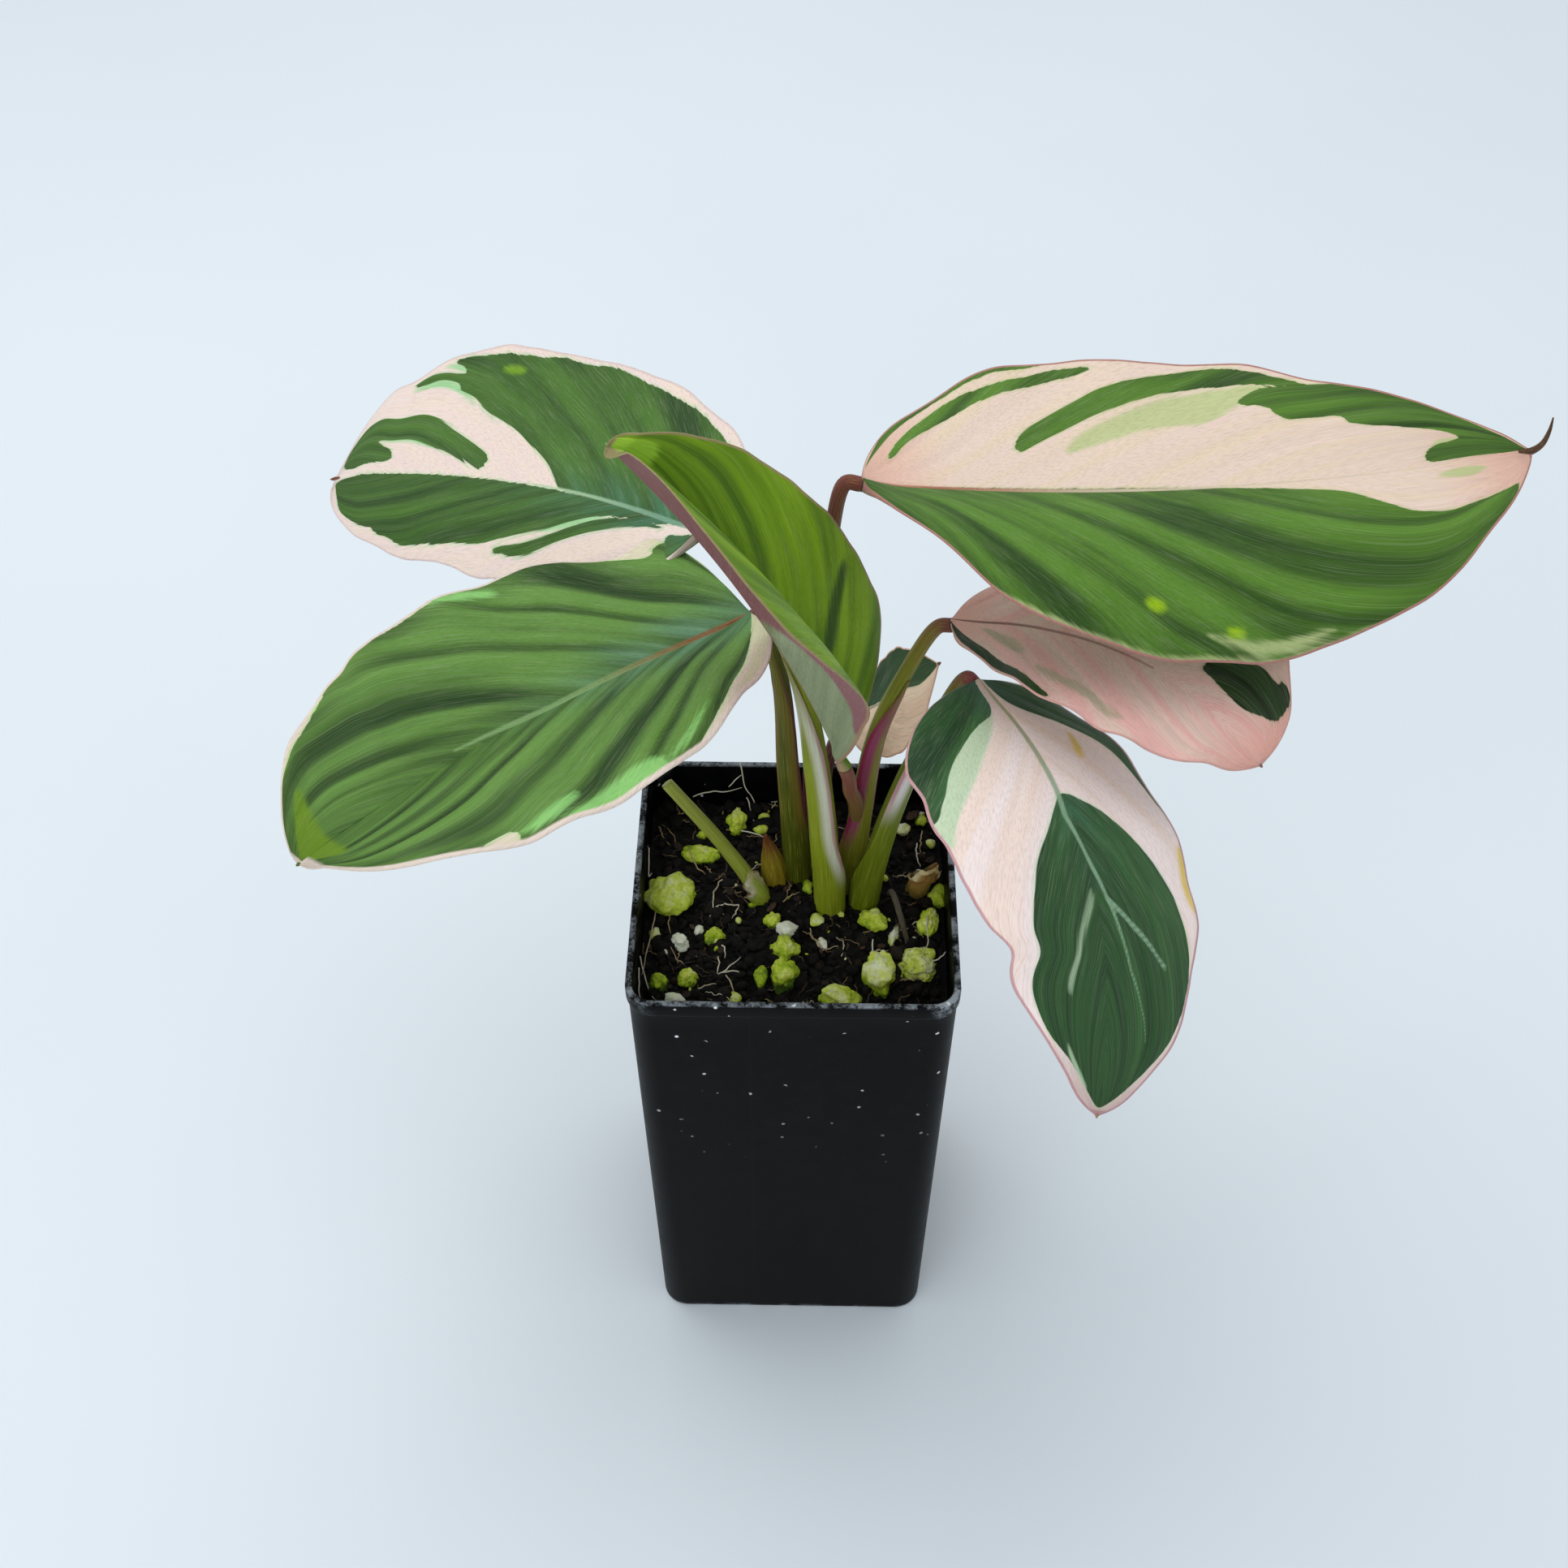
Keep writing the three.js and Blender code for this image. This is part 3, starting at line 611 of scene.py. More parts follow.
grit_look, tree, surface = new_material("perlite_grit")
film = apply_effect(tree, algae_film, {"Place": object_place(tree),
                                       "Moss": calc(tree, "MULTIPLY", stored(tree, "tone"), 0.9)})
connect(tree, surface, colour=film["Colour"], height=film["Height"])
surface.inputs["Roughness"].default_value = 0.7
grit = scatter("perlite_grit", GRIT_BITS, 5, (0.35, 1.6), (0.5, 0.9), 0.3, 0.5, [grit_look])
settle(grit, "perlite")


# Leaf frame. Each blade grows along a curved midrib from its base, rolls and twists about it, and
# bends down on both sides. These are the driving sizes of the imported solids, in mm and degrees.
STALK_RADIUS = 1.5
FOLD_FROM = 1
FOLD_FULL = 6
RIPPLE_WAVES = 5
# left and right hold the half width, the fold, the curl and where along the blade it is widest
LEAVES = {
    "leaf_back_left": dict(base=(-19.5, 27, 203.5), heading=137, turn=21, rise=-10, droop=13,
                           length=109.5,
                           roll=-6, twist=-8, round=0.3, point=0.39, left=(23.5, 7, 25, 0.42),
                           right=(37, -4, -8, 0.67), ripple=0.5),
    "leaf_front_left": dict(base=(-9, 9.5, 197), heading=214, turn=16, rise=3, droop=2, length=102.5,
                            roll=9, twist=-8, round=0.44, point=0.64, left=(32, -16, 24, 0.49),
                            right=(33, -20, 6, 0.47), ripple=0.6),
    "leaf_centre_young": dict(base=(10, -1, 166), heading=178, turn=7.5, rise=72.5, droop=20.5,
                              length=93,
                              roll=-4.5, twist=-30, round=1.23, point=0.59, left=(28.5, -81, 61, 0.6),
                              right=(24, -44, 25, 0.32), ripple=0),
    "leaf_right_large": dict(base=(12, 15, 226), heading=8, turn=1, rise=-11, droop=-17, length=133.5,
                             roll=-9, twist=19, round=0.66, point=0.79, left=(35, -7, -11, 0.31),
                             right=(39.5, -13, 72, 0.5), ripple=0.5),
    "leaf_right_low": dict(base=(31, 12.5, 193), heading=-12, turn=-36, rise=19, droop=47, length=69,
                           roll=-5, twist=16, round=0.62, point=0.69, left=(33.5, 2, 10, 0.54),
                           right=(22, 0, -17, 0.46), ripple=0.6),
    "leaf_front_right": dict(base=(35.5, 1, 187.5), heading=-54, turn=-48, rise=6, droop=45,
                             length=93.5,
                             roll=-19, twist=-15, round=0.53, point=0.72, left=(26, -3, 13, 0.44),
                             right=(29.5, -6, 37, 0.28), ripple=0.5),
    "leaf_back_small": dict(base=(12.5, 27, 152), heading=-16, turn=17, rise=45, droop=-4, length=26,
                            roll=0, twist=8, round=0.59, point=1.06, left=(12.5, -1, -17, 0.42),
                            right=(14.5, -1, 31, 0.41), ripple=0),
}


def smooth(value, low, high):
    share = np.clip((value - low) / (high - low), 0, 1)
    return share * share * (3 - 2 * share)


def leaf_axes(leaf, share):
    """Directions along the midrib, across it to the left, and up from the blade."""
    share = np.asarray(share, dtype=float)
    heading = np.radians(leaf["heading"] + leaf["turn"] * share)
    pitch = np.radians(leaf["rise"] - leaf["droop"] * share)
    along = np.stack([np.cos(pitch) * np.cos(heading), np.cos(pitch) * np.sin(heading), np.sin(pitch)],
                     -1)
    level = np.stack([-np.sin(heading), np.cos(heading), 0 * heading], -1)
    tilt = np.radians(leaf["roll"] + leaf["twist"] * share)[..., None]
    aside = level * np.cos(tilt) + np.cross(along, level) * np.sin(tilt)
    return along, aside, np.cross(along, aside)


# Petioles. Round fleshy green stalks, each thick at its foot, where it clasps the crown with a
# sheath that has thin papery margins. Each bends over at its top into the midrib of its blade.
FOOT_DEPTH = 8
TOP_BEND = 3
TOP_GAP = 0.3
STALK_ROWS = 90
STALK_SIDES = 36
SHEATH_ROWS = 70
SHEATH_COLUMNS = 40
# faces is the way that the middle of the sheath looks, with -90 towards the viewer; ends is where it
# stops along the petiole, bare where its thin margins begin, wing how far they stand off
PETIOLES = {
    "petiole_back_left": dict(
        leaf="leaf_back_left", route=[(0.5, 10.5, 118), (-0.2, 10.5, 134), (-1.6, 11, 154),
                                      (-3.2, 14, 176), (-9, 20.5, 195)],
        radii=[2.9, 2.9, 2.9, 2.5, 1.7, 1.5, 1.5, 1.5], foot="565C06", middle="4E5406", top="7A5A38",
        sheath=dict(faces=-112, ends=0.66, bare=0.35, wing=0.25, clasp=0.2, tip="6C6A12", rim="5E2230",
                    membrane="7A6A22")),
    "petiole_front_left": dict(
        leaf="leaf_front_left", route=[(7.8, 1.5, 118), (6.5, 2, 139), (4.6, 3, 161), (0.8, 5.5, 184)],
        radii=[2.9, 3.1, 3.2, 2.9, 1.7, 1.5, 1.5], foot="8E9A10", middle="8D9A1C", top="A2605C",
        sheath=dict(faces=-135, ends=0.72, bare=0.25, wing=0.7, clasp=0.3, tip="8E8A3C", rim="B08A80",
                    membrane="D6D4BC")),
    "petiole_right_large": dict(
        leaf="leaf_right_large", route=[(4.6, 15.5, 118), (3.5, 16, 149), (4, 16.5, 184), (6, 16, 207)],
        radii=[2.2, 2.1, 1.9, 1.7, 1.5, 1.5, 1.5], foot="6A5A14", middle="6E3430", top="7E3A34",
        sheath=dict(faces=-90, ends=0.4, bare=0.4, wing=0.2, clasp=0.1, tip="6E3032", rim="6A2430",
                    membrane="7A3A38")),
    "petiole_right_low": dict(
        leaf="leaf_right_low", route=[(12, 8.6, 118), (13.8, 8, 143), (16.7, 8.2, 167), (22, 10, 182)],
        radii=[2.6, 2.7, 2.6, 2.1, 1.6, 1.5, 1.5], foot="949A10", middle="8C8E24", top="84463E",
        sheath=dict(faces=-48, ends=0.66, bare=0.32, wing=1.0, clasp=0.9, tip="8A7630", rim="8A2448",
                    membrane="A0486A")),
    "petiole_front_right": dict(
        leaf="leaf_front_right", route=[(15.3, 3, 118), (18.4, 2.6, 140), (23.6, 2.6, 162),
                                        (30, 3, 180)],
        radii=[2.5, 2.6, 2.6, 2.2, 1.6, 1.5, 1.5], foot="6E7C0A", middle="68760C", top="8E3A48",
        sheath=dict(faces=-42, ends=0.7, bare=0.5, wing=1.1, clasp=1.0, tip="8E3A4C", rim="C08A90",
                    membrane="E2D8D2")),
    "petiole_back_small": dict(
        leaf="leaf_back_small", route=[(8.5, 21.5, 118), (6.6, 23, 139)],
        radii=[1.7, 1.6, 1.5, 1.5, 1.5], foot="5A2A2C", middle="5E2432", top="64243A", sheath=None),
}
YOUNG_ROUTE = [(13.4, 8, 139), (12.6, 4.5, 150), (11.4, 1.2, 157)]
YOUNG_RADII = [1.7, 1.7, 1.6, 1.5, 1.5]


def top_points(leaf):
    """The two last points of a petiole, which bend it into its blade's own direction."""
    along = leaf_axes(leaf, 0)[0]
    return [np.array(leaf["base"]) - back * along for back in (TOP_BEND, TOP_GAP)]


def smooth_route(points, count):
    """Middle line and directions of a stalk that passes evenly through its points."""
    points = [np.array(point, dtype=float) for point in points]
    points = [2 * points[0] - points[1], *points, 2 * points[-1] - points[-2]]
    middles, ways = [], []
    for step in range(count):
        place = step / (count - 1) * (len(points) - 3)
        first = min(int(place), len(points) - 4)
        t = place - first
        a, b, c, d = points[first:first + 4]
        ab, bc, cd = (max(np.linalg.norm(q - p), 1e-6) ** 0.5 for p, q in ((a, b), (b, c), (c, d)))
        start = ((b - a) / ab - (c - a) / (ab + bc) + (c - b) / bc) * bc
        end = ((c - b) / bc - (d - b) / (bc + cd) + (d - c) / cd) * bc
        bulge = 3 * (c - b) - 2 * start - end
        turn = 2 * (b - c) + start + end
        middles.append(b + start * t + bulge * t ** 2 + turn * t ** 3)
        way = start + 2 * bulge * t + 3 * turn * t ** 2
        ways.append(way / np.linalg.norm(way))
    return np.array(middles), np.array(ways)


def stalk_frame(ways):
    """Directions to the side and to the back of a stalk, square to its own."""
    back = np.array([0, 1, 0]) - ways * ways[:, 1:2]
    back = back / np.linalg.norm(back, axis=1)[:, None]
    return np.cross(back, ways), back


def spread_radii(radii, count):
    return np.interp(np.linspace(0, len(radii) - 1, count), range(len(radii)), radii)


def stalk_skin(points, radii, flat=1, rows=STALK_ROWS, ribs=0.03, furrow=None, sides=STALK_SIDES):
    """Closed ribbed tube; returns its points, faces and, per point, its share of the height, its
    turn round the stalk in degrees and a number that the caller sets."""
    middles, ways = smooth_route(points, rows)
    aside, back = stalk_frame(ways)
    radius = spread_radii(radii, rows)
    angles = np.arange(sides) * 2 * np.pi / sides
    swell = np.tile(1 + ribs * np.cos(angles * 9) - ribs, (rows, 1))
    if furrow:
        away = (np.degrees(angles) - furrow["turn"] + 180) % 360 - 180
        begun = smooth(np.linspace(0, 1, rows), furrow["from"], furrow["from"] + 0.1)
        swell -= furrow["depth"] * np.exp(-((away / 22) ** 2)) * begun[:, None]
    out = aside[:, None] * np.cos(angles)[:, None] + back[:, None] * np.sin(angles)[:, None] * flat
    tube = middles[:, None] + out * (radius[:, None] * swell)[..., None]
    points = np.vstack([tube.reshape(-1, 3), middles[:1], middles[-1:]])
    faces = grid_faces(rows, sides, closed=True)
    last = rows * sides
    for side in range(sides):
        after = (side + 1) % sides
        faces.append((last, after, side))
        faces.append((last + 1, last - sides + side, last - sides + after))
    share = np.repeat(np.linspace(0, 1, rows), sides)
    turn = np.tile(np.degrees(angles), rows)
    facts = np.stack([share, turn, 0 * turn + 9], -1)
    return points, faces, np.vstack([facts, [[0, 0, 9], [1, 0, 9]]])


def sheath_skin(points, radii, faces, ends, wing, clasp=0.0, start=0.05):
    """Thin wrap round the lower stalk. It overlaps itself at the foot, opens upwards and tapers to
    its end. Its facts are the share of its height, the turn, and the mm to its free margin."""
    middles, ways = smooth_route(points, STALK_ROWS)
    aside, back = stalk_frame(ways)
    levels = start + (ends - start) * np.linspace(0, 1, SHEATH_ROWS)
    spots = np.linspace(0, 1, STALK_ROWS)
    parts = [[np.interp(levels, spots, part[:, axis]) for axis in range(3)]
             for part in (middles, aside, back)]
    middles, aside, back = (np.stack(part, -1)[:, None] for part in parts)
    radius = np.interp(levels, spots, spread_radii(radii, STALK_ROWS))[:, None]
    rise = np.linspace(0, 1, SHEATH_ROWS)[:, None]
    across = np.linspace(-1, 1, SHEATH_COLUMNS)[None]
    half_turn = 185 - 100 * smooth(rise, 0.08, 0.5) - 66 * smooth(rise, 0.7, 1.0)
    angle = np.radians(faces + half_turn * across)
    to_edge = (1 - np.abs(across)) * np.radians(half_turn) * radius
    flare = wing * np.sin(np.pi * rise ** 0.9) * np.clip(1 - to_edge / 1.8, 0, 1) ** 2
    wide = clasp * (1 - smooth(rise, 0.0, 0.55))
    ribs = 0.05 * np.cos(angle * 20)
    grid, facts = [], []
    for thick in (0.16, 0.0):
        thin = thick * smooth(to_edge, -0.2, 1.5)
        overlap = 0.15 * (across + 1) * (1 - smooth(rise, 0.5, 1))
        reach = radius + 0.12 + overlap + flare + wide + ribs + thin
        outwards = aside * np.cos(angle)[..., None] + back * np.sin(angle)[..., None]
        place = middles + reach[..., None] * outwards
        grid.append(place.reshape(-1, 3))
        margin = np.minimum(to_edge, (1 - rise) * 16)
        facts.append(np.stack([rise + 0 * across, np.degrees(angle) % 360, margin], -1).reshape(-1, 3))
    size = SHEATH_ROWS * SHEATH_COLUMNS
    skin = grid_faces(SHEATH_ROWS, SHEATH_COLUMNS)
    skin += grid_faces(SHEATH_ROWS, SHEATH_COLUMNS, first=size, flip=True)
    return np.vstack(grid), skin + rim_faces(SHEATH_ROWS, SHEATH_COLUMNS), np.vstack(facts)


def rim_faces(rows, columns):
    """Faces that join the four edges of one grid of points to those of the grid stored after it."""
    size = rows * columns
    edges = [(row * columns, (row + 1) * columns) for row in range(rows - 1)]
    last = (rows - 1) * columns
    edges += [(last + column, last + column + 1) for column in range(columns - 1)]
    edges += [((row + 2) * columns - 1, (row + 1) * columns - 1) for row in range(rows - 1)]
    edges += [(column + 1, column) for column in range(columns - 1)]
    return [(a, b, b + size, a + size) for a, b in edges]


stem_skin, given, gives = effect(
    "stem_skin",
    {"Facts": "Vector", "Foot": "Color", "Middle": "Color", "Top": "Color", "Rim": "Color",
     "Membrane": "Color",
     "Bare": "Float", "Furrow": "Float", "Furrow Turn": "Float"},
    {"Colour": "Color", "Height": "Float", "Rough": "Float"})
tree = stem_skin
facts = add_node(tree, "SeparateXYZ", {0: given["Facts"]}).outputs
lines = add_node(tree, "CombineXYZ", {0: calc(tree, "MULTIPLY", facts["Y"], 0.05),
                                      1: calc(tree, "MULTIPLY", facts["X"], 1.2)}).outputs[0]
fibre = cloud(tree, lines, 6.0, 3.0, 0.6)
patch = cloud(tree, lines, 1.3, 2.0, 0.5)
level = calc(tree, "ADD", facts["X"], calc(tree, "MULTIPLY", calc(tree, "SUBTRACT", patch, 0.5), 0.25))
colour = tint(tree, ease(tree, facts["X"], 0.02, 0.3), given["Foot"], given["Middle"])
colour = tint(tree, ease(tree, level, 0.62, 0.95), colour, given["Top"])
colour = tint(tree, calc(tree, "MULTIPLY", ease(tree, fibre, 0.5, 0.72), 0.4), colour, paint("D2D060"))
colour = tint(tree, calc(tree, "MULTIPLY", ease(tree, fibre, 0.48, 0.26), 0.6), colour, paint("3C4602"))
shown = calc(tree, "MULTIPLY", ease(tree, facts["X"], given["Bare"],
                                    calc(tree, "ADD", given["Bare"], 0.14)),
             ease(tree, facts["X"], 1.0, 0.72))
colour = tint(tree, calc(tree, "MULTIPLY", ease(tree, facts["Z"], 2.8, 1.2), shown), colour,
              given["Membrane"])
colour = tint(tree, calc(tree, "MULTIPLY", ease(tree, facts["Z"], 0.8, 0.3), shown), colour,
              given["Rim"])
off_furrow = calc(tree, "ABSOLUTE", calc(tree, "SUBTRACT", facts["Y"], given["Furrow Turn"]))
torn_edge = calc(tree, "ADD", off_furrow, calc(tree, "MULTIPLY", fibre, 16))
furrow = calc(tree, "MULTIPLY", ease(tree, torn_edge, 36, 14), given["Furrow"])
colour = tint(tree, calc(tree, "MULTIPLY", furrow, ease(tree, facts["X"], 0.3, 0.42)), colour,
              paint("5C4A1C"))
tree.links.new(colour, gives["Colour"])
tree.links.new(calc(tree, "MULTIPLY", fibre, 0.25), gives["Height"])
tree.links.new(calc(tree, "ADD", 0.36, calc(tree, "MULTIPLY", fibre, 0.25)), gives["Rough"])


def stem_look(name, foot, middle, top, rim=None, membrane=None, bare=2.0, furrow=0.0, furrow_turn=0.0):
    look, tree, surface = new_material(name)
    feeds = {"Facts": stored(tree, "stem", "Vector"), "Foot": paint(foot), "Middle": paint(middle),
             "Top": paint(top),
             "Rim": paint(rim or top), "Membrane": paint(membrane or top), "Bare": bare,
             "Furrow": furrow,
             "Furrow Turn": furrow_turn}
    skin = apply_effect(tree, stem_skin, feeds)
    connect(tree, surface, colour=skin["Colour"], rough=skin["Rough"], height=skin["Height"])
    surface.inputs["Specular IOR Level"].default_value = 0.3
    surface.inputs["Subsurface Weight"].default_value = 0.1
    surface.inputs["Subsurface Scale"].default_value = 0.001
    return look


def stem_piece(name, skin, look, slot, *nodes):
    made = make_mesh(name, skin[0], skin[1], [look])
    store(made, "stem", skin[2])
    settle(made, slot, *nodes)


def join_skins(skins):
    """Puts the points, faces and facts of several skins into one."""
    points, faces, facts = [], [], []
    for skin_points, skin_faces, skin_facts in skins:
        faces += [tuple(corner + len(points) for corner in face) for face in skin_faces]
        points += list(skin_points)
        facts += list(skin_facts)
    return points, faces, facts


for name, stem in PETIOLES.items():
    leaf = LEAVES[stem["leaf"]]
    start = (*stem["route"][0][:2], stem["route"][0][2] - FOOT_DEPTH)
    points = [start, *stem["route"], *top_points(leaf)]
    wrap = stem["sheath"]
    slim = [radius - (0.35 if wrap and radius > 2 else 0) for radius in stem["radii"]]
    skins = [stalk_skin(points, slim)]
    if name == "petiole_right_low":
        young = stalk_skin([*YOUNG_ROUTE, *top_points(LEAVES["leaf_centre_young"])], YOUNG_RADII,
                           rows=50)
        young[2][:, 0] = 0.8 + 0.2 * young[2][:, 0]
        skins.append(young)
    short = name.replace("petiole_", "")
    look = stem_look(f"stalk_{short}", stem["foot"], stem["middle"], stem["top"])
    slot = "red_stem" if name in ("petiole_right_large", "petiole_back_small") else "green_stem"
    stem_piece(f"stalk_{short}", join_skins(skins), look, slot, name)
    if wrap:
        look = stem_look(f"sheath_{short}", stem["foot"], stem["middle"], wrap["tip"], wrap["rim"],
                         wrap["membrane"], wrap["bare"])
        skin = sheath_skin(points, slim, wrap["faces"], wrap["ends"], wrap["wing"], wrap["clasp"])
        stem_piece(f"sheath_{short}", skin, look, slot)


# Old growth. A cut petiole that leans left with a brown furrow, a papery bud scale, the stub of a
# dry sheath and a dark dead twig: leftovers of earlier leaves that still stand in the mix.
RELICS = {
    "petiole_cut_old": dict(points=[(-5.4, 3.2, 110), (-8, 4.2, 119), (-16, 8.5, 130.5),
                                    (-28, 13.4, 145)],
                            radii=[2, 2.1, 1.7, 1.5], flat=1, foot="8E9A1C", middle="9CA83A",
                            top="A3AC48",
                            slot="green_stem"),
    "bud_scale": dict(points=[(-4.4, 9, 112), (-4.6, 8.8, 119), (-5.2, 9.2, 126), (-6.6, 9.6, 133)],
                      radii=[2.8, 3.3, 2.6, 0.4], flat=0.85, foot="7C8418", middle="96801C",
                      top="7A3A1E",
                      slot="dry_tissue"),
    "sheath_dry": dict(points=[(26.4, 7, 112), (27.2, 6.4, 119), (29, 5.6, 125), (31, 5, 129.5)],
                       radii=[1.4, 1.7, 1.5, 0.4], flat=0.6, foot="3E3018", middle="5E4422",
                       top="8A6436",
                       slot="dry_tissue"),
    "twig_dry": dict(points=[(20.6, 6.5, 116), (21.6, 3.5, 121.2), (23.2, -3, 121.4), (25, -9, 118.2)],
                     radii=[0.6, 0.7, 0.7, 0.5], flat=1, foot="2A2320", middle="6A6058", top="4C423A",
                     slot="dry_tissue"),
}
OLD_FURROW = {"turn": 215, "depth": 0.3, "from": 0.38}
# Torn dry wraps round two of them, with the values of a petiole's sheath. Their tears are drawn
# with a set seed, as Blender would otherwise take it from the clock
TEAR_SEED = 5
noise.seed_set(TEAR_SEED)
TORN_WRAPS = {
    "petiole_cut_old": dict(faces=-35, ends=0.5, wing=0.35, clasp=0.0,
                            colours=("8E9A1C", "9CA83A", "B0A860"),
                            rim="8A6E48", membrane="CFC6A4", bare=0.2),
    "sheath_dry": dict(faces=-70, ends=1.0, wing=1.7, clasp=0.5, colours=("5A4A1C", "A07A3A", "C09A5C"),
                       rim="E0CC9A", membrane="A67C40", bare=0.1),
}
for name, relic in RELICS.items():
    old = name == "petiole_cut_old"
    skin = stalk_skin(relic["points"], relic["radii"], relic["flat"], 60, 0.06,
                      OLD_FURROW if old else None)
    look = stem_look(f"old_{name}", relic["foot"], relic["middle"], relic["top"],
                     furrow=0.9 if old else 0.0, furrow_turn=OLD_FURROW["turn"])
    stem_piece(f"old_{name}", skin, look, relic["slot"], name)
    if name in TORN_WRAPS:
        wrap = TORN_WRAPS[name]
        look = stem_look(f"torn_{name}", *wrap["colours"], wrap["rim"], wrap["membrane"], wrap["bare"])
        skin = sheath_skin(relic["points"], relic["radii"], wrap["faces"], wrap["ends"], wrap["wing"],
                           wrap["clasp"], 0.3)
        ragged = np.array([noise.noise_vector(Vector(point) * 0.9) for point in skin[0]])
        tear = (0.5 * smooth(3 - skin[2][:, 2], 0, 3))[:, None]
        stem_piece(f"torn_{name}", (skin[0] + ragged * tear, *skin[1:]), look, "dry_tissue")


# Fine roots. Living cream roots that crept out of the mix, and the dead brown fibres of the peat.
# The main ones lie where they are seen; short ones are strewn. Each is a thin tapering thread.
# Places and heights over the mix, in mm, along each root, and how pale it is from 0 to 1
ROOTS = [
    ([(-24, 32.8, 1.6), (-19, 33, 4.2), (-12.5, 33, 4.8)], 0.9),
    ([(-12.8, 33.2, 13.4), (-12, 33, 5), (-10, 32.4, 1.6), (-9.5, 31, 0.2)], 0.95),
    ([(-15.5, 33, 6), (-12.5, 33, 9.4)], 0.8),
    ([(-11.5, 32.6, 1.6), (-10.5, 30, 0.7), (-9.5, 25.5, 0.3)], 0.9),
    ([(-12.5, 22.5, 1.6), (-9.5, 22.5, 0.8), (-7, 21.5, 1)], 1.0),
    ([(-31.5, 24, 1.5), (-30.5, 21.5, 0.8), (-28.5, 19, 0.2)], 0.45),
    ([(-33, 13.5, 6), (-33, 11, 3.4), (-32.8, 9, 1), (-32.2, 10.6, 0.3)], 0.85),
    ([(-30.5, 0.4, 1.2), (-31, -5.5, 0.7), (-32, -12, 0.9), (-32.5, -19.5, 1.4)], 0.7),
    ([(-33, -17, 5), (-32, -19.5, 1.6), (-31, -22, 0.5), (-29, -25.5, 0.3)], 0.8),
    ([(-16.5, 9, 0.9), (-18, 4, 1.4), (-18, -0.5, 0.8), (-19, -3, 0.2)], 0.75),
    ([(-17.5, 0, 0.3), (-15.5, 0.5, 0.8), (-12.5, 1, 0.9), (-13, -1, 0.5), (-14, -2.5, 0.2)], 0.8),
    ([(-17, -9, 0.3), (-15, -11, 1), (-15, -13, 0.3)], 0.9),
    ([(-16.5, -13, 0.3), (-16, -15, 0.8), (-16.5, -18.5, 0.4)], 0.8),
    ([(-16.5, -18.5, 0.3), (-14, -16, 0.7), (-11.5, -13, 0.3)], 0.85),
    ([(-15.5, -17.5, 0.5), (-13, -17.5, 0.8), (-11, -18, 0.3)], 0.8),
    ([(-22, -22.5, 0.3), (-19, -21.5, 0.7), (-16.5, -21, 0.3)], 0.7),
    ([(-14.5, -18.5, 0.4), (-13, -22, 0.9), (-11, -26.5, 0.4)], 0.65),
    ([(27.5, 19, 1.5), (27.5, 16, 0.8), (28.5, 13.5, 0.3)], 0.9),
    ([(29, 23, 2), (28.5, 20, 1.2), (28.5, 17.5, 0.4)], 0.6),
    ([(29.5, -1, 3), (29, -6, 3.4), (29, -11.5, 4.6), (27.5, -15.5, 4.6)], 0.75),
    ([(29.5, -17, 4), (31.5, -15.5, 3.4), (32.8, -13.8, 3)], 0.9),
    ([(17, -10, 2.6), (17, -13.5, 1.6)], 0.9),
    ([(16.5, -14, 3.6), (18.5, -12.5, 3), (20.5, -11.5, 1.6)], 0.7),
    ([(3.5, -5, 0.4), (4, -8, 1), (5.5, -10.5, 0.8), (6.5, -10, 0.4)], 0.6),
    ([(-2.5, 2, 0.3), (-0.5, 3.5, 0.9), (1.5, 4.5, 0.4)], 0.5),
    ([(-24, 15, 3.4), (-22, 11.5, 1.4), (-20, 10.5, 0.4)], 0.55),
    ([(-33, -20.5, 5.5), (-33, -23.5, 2.6), (-32.6, -25.5, 0.8)], 1.0),
    ([(-11, 4, 0.3), (-8.5, 3, 0.8), (-6, 2.5, 0.4)], 0.6),
    ([(-27.5, -1, 0.6), (-27.8, -4, 1), (-27, -8, 0.4)], 0.5),
]
ROOT_RADIUS = 0.15
FIBRES = 190
roots_look, tree, surface = new_material("fine_roots")
place = object_place(tree)
uneven = calc(tree, "SUBTRACT", cloud(tree, place, 0.6, 3.0), 0.5)
pale = calc(tree, "ADD", stored(tree, "tone"), calc(tree, "MULTIPLY", uneven, 0.4))
colour = tint(tree, ease(tree, pale, 0.05, 0.55), paint("3A281C"), paint("B09468"))
colour = tint(tree, ease(tree, pale, 0.5, 0.95), colour, paint("EDE6D2"))
connect(tree, surface, colour=colour, height=calc(tree, "MULTIPLY", cloud(tree, place, 4.0, 2.0), 0.1))
surface.inputs["Roughness"].default_value = 0.6


def root_skins(routes, radius, wriggle, seed):
    """Thin threads along routes given by place and height over the mix."""
    dice = random.Random(seed)
    skins = []
    for route, tone in routes:
        points = []
        for step in range(4 * (len(route) - 1) + 1):
            first = min(step // 4, len(route) - 2)
            part = step / 4 - first
            x, y, lift = ((1 - part) * a + part * b for a, b in zip(route[first], route[first + 1]))
            x, y = x + dice.gauss(0, wriggle), y + dice.gauss(0, wriggle)
            x, y = (max(-32.9, min(32.9, value)) for value in (x, y))
            points.append((x, y, soil_height(x, y) + lift + 0.15))
        skin = stalk_skin(points, [radius, radius * 1.1, radius, radius * 0.4], rows=5 * len(points),
                          ribs=0, sides=6)
        skin[2][:, 0] = tone
        skins.append(skin)
    return join_skins(skins)


def root_piece(name, skin):
    made = make_mesh(name, skin[0], skin[1], [roots_look])
    store(made, "tone", np.array(skin[2])[:, 0])
    settle(made, "dry_tissue")


